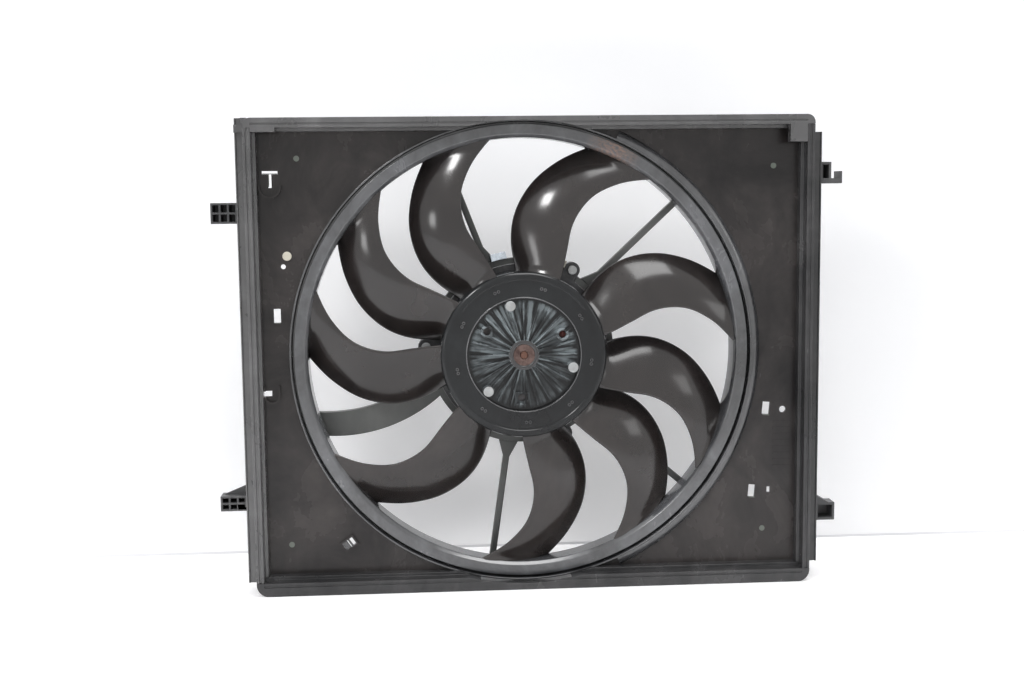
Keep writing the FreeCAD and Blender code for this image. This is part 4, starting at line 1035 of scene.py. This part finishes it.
@dataclass
class Fan:
    """Hub, swept blades and flared band."""

    finishes: Finishes
    stations: tuple = (
        BladeStation(0.0, 8.0, 37.6, 0.0050, 0.0340),
        BladeStation(0.215, 11.2, 38.6, 0.0060, 0.0340),
        BladeStation(0.415, 13.0, 36.4, 0.0080, 0.0345),
        BladeStation(0.64, 10.4, 30.5, 0.0115, 0.0360),
        BladeStation(0.83, 4.5, 23.2, 0.0155, 0.0380),
        BladeStation(1.0, -2.8, 15.4, 0.0205, 0.0400),
    )
    gaps_deg: tuple = (32.0, 45.0, 51.0, 37.0, 30.0, 37.0, 51.0, 45.0, 32.0)
    first_deg: float = 133.1
    hub_r: float = HUB_R
    band_r: float = 0.2120
    hub_front: float = 0.0040
    face_depth: float = 0.0062
    dish_floor: float = 0.0120
    dish_r: float = 0.0558
    sink: float = 0.0006
    thick: float = 0.0030
    edge_thick: float = 0.0021
    camber: float = 0.0045
    root_flare: float = 0.0034
    flare_span: float = 0.055
    along: int = 46
    across: int = 18
    pip_r: float = 0.0670
    pip_first_deg: float = 33.0
    pips: int = 9
    vent_r: float = 0.043
    rusty_vent_deg: float = 27.0
    plain_vent_deg: float = 147.0
    framed_vent_deg: float = 267.0
    bead_r: float = 0.0007

    def build(self) -> None:
        """Build and dress the fan."""
        given = self.finishes
        SmoothShell("fan_hub", 0.45, 50.0, 2).build(Body.ROTOR, given.hub)
        SmoothShell("fan_ring", 0.8, 50.0, 3).build(Body.ROTOR, given.band)
        SmoothShell("hub_screws", 0.5, 35.0, 3).build(Body.ROTOR, given.zinc)
        SmoothShell("hub_bush", 0.5, 35.0, 2).build(Body.ROTOR, given.rust)
        self._blades()
        self._pips()
        self._vent_collars()
        self._boss_details()

    def _between(self, field_name: str, span: float) -> float:
        """Value of one edge line at a share of the span, on a smooth curve.

        Args:
            field_name: Field of the stations.
            span: Share of the span.

        Returns:
            The value there.
        """
        xs = [s.span for s in self.stations]
        ys = [getattr(s, field_name) for s in self.stations]
        last = len(xs) - 1
        i = max(k for k in range(last) if xs[k] <= span + 1e-9)

        def slope(k: int) -> float:
            """Slope of the curve at a station."""
            a, b = max(k - 1, 0), min(k + 1, last)
            return (ys[b] - ys[a]) / (xs[b] - xs[a])

        h = xs[i + 1] - xs[i]
        t = (span - xs[i]) / h
        return ((2 * t**3 - 3 * t**2 + 1) * ys[i] + (t**3 - 2 * t**2 + t) * h * slope(i)
                + (3 * t**2 - 2 * t**3) * ys[i + 1] + (t**3 - t**2) * h * slope(i + 1))

    def _section(self, span: float) -> list:
        """Closed section of a blade at a share of its span, as polar places.

        Args:
            span: Share of the span.

        Returns:
            Radius, angle in radians and depth of each corner.
        """
        lead, trail, d_lead, d_trail = [
            self._between(name, span)
            for name in ("lead_deg", "trail_deg", "lead_depth", "trail_depth")]
        inner, outer = self.hub_r - self.sink, self.band_r + self.sink
        r = inner + span * (outer - inner)
        arc, rise = math.radians(trail - lead) * r, d_trail - d_lead
        chord = math.hypot(arc, rise)
        near_end = min(span, 1.0 - span) / self.flare_span
        flare = self.root_flare * max(0.0, 1.0 - near_end) ** 2

        def corner(share: float, off: float) -> tuple:
            """Place at a share of the chord, offset from the chord line.

            Args:
                share: Share of the chord, from the leading edge.
                off: Offset from the chord line, positive to the rear.

            Returns:
                Radius, angle in radians and depth.
            """
            bulge = 4 * share * (1 - share)
            lift = off - self.camber * bulge
            angle = math.radians(lead) + (arc * share - lift * rise / chord) / r
            return r, angle, self.hub_front + d_lead + rise * share + lift * arc / chord

        def half(share: float) -> float:
            """Half of the thickness at a share of the chord.

            Args:
                share: Share of the chord, from the leading edge.

            Returns:
                The half thickness.
            """
            bulge = 4 * share * (1 - share)
            return (self.edge_thick + (self.thick - self.edge_thick) * math.sqrt(bulge)
                    + flare * bulge**0.25) / 2

        steps = [0.5 - 0.5 * math.cos(math.pi * i / self.across)
                 for i in range(self.across + 1)]
        bulb = self.edge_thick / 2 / chord
        front = [corner(share, -half(share)) for share in steps]
        rear = [corner(share, half(share)) for share in reversed(steps)]
        nose = [corner(-bulb * math.cos(a), self.edge_thick / 2 * math.sin(a))
                for a in (math.pi / 4, 0.0, -math.pi / 4)]
        tail = [corner(1 + bulb * math.cos(a), self.edge_thick / 2 * math.sin(a))
                for a in (-math.pi / 4, 0.0, math.pi / 4)]
        return front + tail + rear + nose

    def _blades(self) -> None:
        """Nine blades at uneven spacing, in place of the plain ones."""
        fan = bmesh.new()
        sections = [self._section(i / self.along) for i in range(self.along + 1)]
        turn = self.first_deg
        for gap in self.gaps_deg:
            loops = []
            for section in sections:
                loops.append([fan.verts.new(polar(r, math.degrees(a) + turn, d))
                              for r, a, d in section])
            count = len(loops[0])
            for here, there in zip(loops, loops[1:]):
                for j in range(count):
                    k = (j + 1) % count
                    fan.faces.new((here[j], there[j], there[k], here[k]))
            fan.faces.new(loops[0])
            fan.faces.new(reversed(loops[-1]))
            turn += gap
        blades = new_piece("swept_blades", fan, self.finishes.blade)
        blades.data.set_sharp_from_angle(angle=math.radians(70.0))
        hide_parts("fan_blades")
        settle(blades, Body.ROTOR)

    def _pips(self) -> None:
        """Pairs of small raised rings around the flat face of the hub."""
        pair = bmesh.new()
        for shift in (-0.0019, 0.0019):
            centre = Vector((0.0, 0.0, shift))
            add_ring(pair, centre, [(0.0007, -0.0005), (0.0010, -0.0008), (0.0014, -0.0008),
                                    (0.0017, -0.0005), (0.0017, 0.0004), (0.0007, 0.0004)], 18)
        holder = new_piece("hub_pips", pair, self.finishes.clip_bracket)
        pattern = Pattern("hub_pips_pattern", Lay.RING)
        settle(pattern.spread(holder, self.finishes.clip_bracket, Count=self.pips,
                              Radius=self.pip_r, Start=self.pip_first_deg,
                              Step=360.0 / self.pips, Depth=self.face_depth, Uneven=0.0,
                              Seed=1), Body.ROTOR)

    def _vent_collars(self) -> None:
        """Raised collars round two vents, a frame round the third, rust behind one."""
        collars = bmesh.new()
        low, high = self.dish_floor + 0.0002, self.face_depth + 0.0012
        for angle in (self.rusty_vent_deg, self.plain_vent_deg):
            centre = polar(self.vent_r, angle, 0.0)
            add_ring(collars, centre, [(0.0037, low), (0.0037, high), (0.0042, high - 0.0004),
                                       (0.0054, high - 0.0004), (0.0062, high), (0.0066, low)],
                     36)
        settle(new_piece("vent_collars", collars, self.finishes.hub), Body.ROTOR)
        frame_piece = bmesh.new()
        middle = polar(self.vent_r, self.framed_vent_deg, (low + high) / 2)
        turn = Matrix.Rotation(math.radians(3.0), 4, "Y")
        for x, z, w, h in ((0, 0.0054, 0.014, 0.0012), (0, -0.0060, 0.010, 0.0012),
                           (-0.0066, 0, 0.0012, 0.011), (0.0066, 0, 0.0012, 0.011)):
            place = Matrix.Translation(middle) @ turn @ Matrix.Translation((x, 0, z))
            bmesh.ops.create_cube(frame_piece, size=1.0,
                                  matrix=place @ Matrix.Diagonal((w, high - low, h, 1.0)))
        bmesh.ops.bevel(frame_piece, geom=frame_piece.edges[:], offset=0.0002, segments=2,
                        affect="EDGES")
        settle(new_piece("vent_frame", frame_piece, self.finishes.hub), Body.ROTOR)
        rusted = bmesh.new()
        add_turned(rusted, polar(self.vent_r, self.rusty_vent_deg, 0.0),
                   [(0.0, 0.0120), (0.0026, 0.0121), (0.0034, 0.0126), (0.0034, 0.0142),
                    (0.0, 0.0142)], 28)
        settle(new_piece("vent_rust_cap", rusted, self.finishes.deep_rust), Body.ROTOR)

    def _boss_details(self) -> None:
        """Crimped rim of the bush, bead around the dish and rounded end of the shaft."""
        crimp = bmesh.new()
        add_ring(crimp, polar(0.0, 0.0, 0.0),
                 [(0.0104, 0.0056), (0.0110, 0.0048), (0.0122, 0.0045), (0.0136, 0.0047),
                  (0.0146, 0.0052), (0.0146, 0.0060), (0.0104, 0.0060)], 72)
        settle(new_piece("bush_collar", crimp, self.finishes.rail), Body.ROTOR)
        bead = bmesh.new()
        r = self.bead_r
        add_ring(bead, polar(0.0, 0.0, 0.0),
                 [(self.dish_r + r - r * math.cos(math.pi * i / 6),
                   self.face_depth + 0.0002 - r * math.sin(math.pi * i / 6))
                  for i in range(7)], 120)
        settle(new_piece("dish_bead", bead, self.finishes.duct), Body.ROTOR)
        nut = bmesh.new()
        add_turned(nut, polar(0.0, 0.0, 0.0),
                   [(0.0, 0.0050), (0.0020, 0.0050), (0.0034, 0.0053), (0.0039, 0.0060),
                    (0.0039, 0.0074), (0.0, 0.0074)], 40)
        settle(new_piece("shaft_end", nut, self.finishes.shaft), Body.ROTOR)


# ---- motor ------------------------------------------------------------------------
@dataclass
class Motor:
    """Outer-rotor motor with its electronics cup at the rear."""

    finishes: Finishes
    cover_screw_r: float = 0.0620
    cover_depth: float = 0.0770
    head_r: float = 0.0034
    head_rise: float = 0.0022

    def build(self) -> None:
        """Build and dress the motor."""
        given = self.finishes
        SmoothShell("motor_base", 0.7, 40.0).build(Body.SHROUD, given.coated)
        SmoothShell("motor_cover", 0.6, 40.0).build(Body.SHROUD, given.alloy)
        SmoothShell("motor_screws", 0.5, 35.0, 3).build(Body.SHROUD, given.zinc)
        inside = {"rotor_can": given.can, "shaft": given.steel, "bearings": given.steel,
                  "rotor_magnets": given.ferrite, "stator_core": given.steel,
                  "stator_windings": given.copper, "control_board": given.board,
                  "power_transistors": given.ferrite, "socket_pins": given.brass}
        for node, finish in inside.items():
            finish_node(node, finish)
        self._cover_screws()

    def _cover_screws(self) -> None:
        """Six socket-head screws between the fins at the rear, in three opposite pairs."""
        pattern = Pattern("cover_screw_pattern", Lay.RING)
        rise, r = self.head_rise, self.head_r
        for name, start, step in (("cover_screws_side", 0.0, 180.0),
                                  ("cover_screws_top", 57.5, 65.0),
                                  ("cover_screws_low", 237.5, 65.0)):
            head = bmesh.new()
            add_turned(head, Vector((0.0, 0.0, 0.0)),
                       [(0.0, 0.3 * rise), (0.38 * r, 0.3 * rise), (0.44 * r, 0.95 * rise),
                        (0.80 * r, rise), (r, 0.65 * rise), (r, -0.1 * rise),
                        (0.0, -0.1 * rise)], 24)
            holder = new_piece(name, head, self.finishes.zinc)
            settle(pattern.spread(holder, self.finishes.zinc, Count=2,
                                  Radius=self.cover_screw_r, Start=start, Step=step,
                                  Depth=self.cover_depth, Uneven=0.0, Seed=1), Body.SHROUD)


# ---- studio -----------------------------------------------------------------------
@dataclass
class Studio:
    """Camera, lamps, floor, wall and surroundings."""

    camera_place: tuple = (-0.1025, -1.2879, 0.3862)
    camera_turn_deg: tuple = (83.794, 0.624, -3.725)
    lens: float = 45.7
    floor_size: float = 8.0
    floor_front: float = -1.0
    wall_y: float = 0.135
    wall_height: float = 3.0
    crease_shade_height: float = 0.003
    crease_shade_colour: tuple = (0.86, 0.86, 0.87)
    floor_colour: tuple = (0.90, 0.89, 0.885)
    wall_colour: tuple = (0.90, 0.90, 0.905)
    extra_white: float = 0.21
    sky: tuple = (0.93, 0.95, 1.0)

    def build(self) -> None:
        """Create everything around the part."""
        self._camera()
        half, front, back = self.floor_size / 2, self.floor_front, self.wall_y
        self._plane("floor", [(-half, front, 0), (half, front, 0), (half, half, 0),
                              (-half, half, 0)], self.floor_colour, False)
        self._plane("wall", [(-half, back, 0), (half, back, 0),
                             (half, back, self.wall_height), (-half, back, self.wall_height)],
                    self.wall_colour, True)
        # Darker strip at the foot of the wall: painted shade in the crease between wall and floor.
        strip = back - 0.001
        self._plane("wall_crease_shade", [(-half, strip, 0), (half, strip, 0),
                                  (half, strip, self.crease_shade_height),
                                  (-half, strip, self.crease_shade_height)],
                    self.crease_shade_colour, True, 0.0)
        self._world()
        middle = (0.0, 0.0, 0.25)
        self._lamp("key", (-1.3, -1.3, 1.75), middle, 0.40, 15.0)
        self._lamp("top", (0.3, -0.7, 2.3), middle, 1.2, 24.0)
        self._lamp("right", (1.9, -1.2, 0.9), middle, 0.6, 2.0)
        self._lamp("side_strip", (-1.75, -1.15, 0.42), middle, 0.30, 1.8)
        self._lamp("rear", (0.5, 1.9, 1.5), middle, 1.2, 16.0)

    def _camera(self) -> None:
        """Create the camera."""
        data = bpy.data.cameras.new("camera")
        data.lens = self.lens
        data.sensor_width = 36.0
        camera = bpy.data.objects.new("camera", data)
        camera.location = self.camera_place
        camera.rotation_euler = [math.radians(a) for a in self.camera_turn_deg]
        bpy.context.collection.objects.link(camera)
        bpy.context.scene.camera = camera

    def _plane(self, name: str, corners: list, colour: tuple, one_sided: bool,
               glow_share: float = 1.0) -> None:
        """Pale plane of the stage, white where nothing shades it.

        Args:
            name: Name of the plane.
            corners: Its corners, in order.
            colour: Its colour.
            one_sided: True to show only its front and let lamps shine through.
            glow_share: Share of the extra white that it gets.
        """
        mat = MaterialBuilder(name + "_pale")
        tone = mat.remap(mat.noise(1.5, 2.0), 0.3, 0.7, 0.0, 1.0)
        mat.link(mat.mix(tone, colour, tuple(c * 0.99 for c in colour)),
                 mat.shader.inputs["Base Color"])
        mat.shader.inputs["Roughness"].default_value = 0.8
        mat.shader.inputs["Specular IOR Level"].default_value = 0.1
        tree = mat.tree
        path = tree.nodes.new("ShaderNodeLightPath")
        glow = tree.nodes.new("ShaderNodeEmission")
        glow.inputs["Color"].default_value = (1.0, 1.0, 1.0, 1.0)
        seen = mat.math("MAXIMUM", path.outputs["Is Camera Ray"],
                        mat.math("MAXIMUM", path.outputs["Is Glossy Ray"],
                                 path.outputs["Is Transmission Ray"]))
        mat.link(mat.math("MULTIPLY", seen, self.extra_white * glow_share),
                 glow.inputs["Strength"])
        both = tree.nodes.new("ShaderNodeAddShader")
        mat.link(mat.shader.outputs["BSDF"], both.inputs[0])
        mat.link(glow.outputs["Emission"], both.inputs[1])
        surface = both.outputs["Shader"]
        if one_sided:
            face = tree.nodes.new("ShaderNodeNewGeometry")
            clear = tree.nodes.new("ShaderNodeBsdfTransparent")
            swap = tree.nodes.new("ShaderNodeMixShader")
            mat.link(mat.math("MAXIMUM", face.outputs["Backfacing"],
                              path.outputs["Is Shadow Ray"]), swap.inputs["Fac"])
            mat.link(surface, swap.inputs[1])
            mat.link(clear.outputs["BSDF"], swap.inputs[2])
            surface = swap.outputs["Shader"]
        mat.link(surface, mat.output.inputs["Surface"])
        mesh = bpy.data.meshes.new(name)
        mesh.from_pydata(corners, [], [(0, 1, 2, 3)])
        mesh.materials.append(mat.material)
        plane = bpy.data.objects.new(name, mesh)
        bpy.context.collection.objects.link(plane)

    def _world(self) -> None:
        """Pale room, brighter up and to the left, plain white where it is looked at."""
        world = bpy.data.worlds.new("room")
        bpy.context.scene.world = world
        world.use_nodes = True
        tree = world.node_tree
        tree.nodes.clear()
        out = tree.nodes.new("ShaderNodeOutputWorld")
        seen = tree.nodes.new("ShaderNodeBackground")
        seen.inputs["Color"].default_value = (1.0, 1.0, 1.0, 1.0)
        given = tree.nodes.new("ShaderNodeBackground")
        given.inputs["Color"].default_value = (*self.sky, 1.0)
        coords = tree.nodes.new("ShaderNodeTexCoord")
        lean = tree.nodes.new("ShaderNodeVectorMath")
        lean.operation = "DOT_PRODUCT"
        lean.inputs[1].default_value = (-0.42, 0.1, 0.88)
        tree.links.new(coords.outputs["Generated"], lean.inputs[0])
        spread = tree.nodes.new("ShaderNodeMapRange")
        spread.inputs["From Min"].default_value = -0.35
        spread.inputs["From Max"].default_value = 0.9
        spread.inputs["To Min"].default_value = 0.08
        spread.inputs["To Max"].default_value = 1.0
        tree.links.new(lean.outputs["Value"], spread.inputs["Value"])
        tree.links.new(spread.outputs["Result"], given.inputs["Strength"])
        path = tree.nodes.new("ShaderNodeLightPath")
        mix = tree.nodes.new("ShaderNodeMixShader")
        shown = path.outputs["Is Camera Ray"]
        for kind in ("Is Glossy Ray", "Is Transmission Ray"):
            either = tree.nodes.new("ShaderNodeMath")
            either.operation = "MAXIMUM"
            tree.links.new(shown, either.inputs[0])
            tree.links.new(path.outputs[kind], either.inputs[1])
            shown = either.outputs[0]
        tree.links.new(shown, mix.inputs["Fac"])
        tree.links.new(given.outputs["Background"], mix.inputs[1])
        tree.links.new(seen.outputs["Background"], mix.inputs[2])
        tree.links.new(mix.outputs["Shader"], out.inputs["Surface"])

    def _lamp(self, name: str, place: tuple, aim: tuple, size: float, power: float) -> None:
        """Add one soft square lamp.

        Args:
            name: Name of the lamp.
            place: Where it hangs.
            aim: The point that it faces.
            size: Side of the lamp.
            power: Power in watts.
        """
        data = bpy.data.lights.new(name, "AREA")
        data.shape = "SQUARE"
        data.size = size
        data.energy = power
        lamp = bpy.data.objects.new(name, data)
        lamp.location = place
        lamp.rotation_euler = (Vector(aim) - Vector(place)).to_track_quat("-Z", "Y").to_euler()
        bpy.context.collection.objects.link(lamp)


def main() -> None:
    """Build the part's looks and its studio."""
    logging.basicConfig(level=logging.INFO)
    bpy.context.scene.view_settings.view_transform = "Standard"
    finishes = Finishes()
    for assembly in (ShroudMoulding(finishes), DuctAndCarrier(finishes), Fan(finishes),
                     Motor(finishes)):
        LOG.info("building %s", type(assembly).__name__)
        assembly.build()
    Studio().build()


if __name__ == "__main__":
    main()
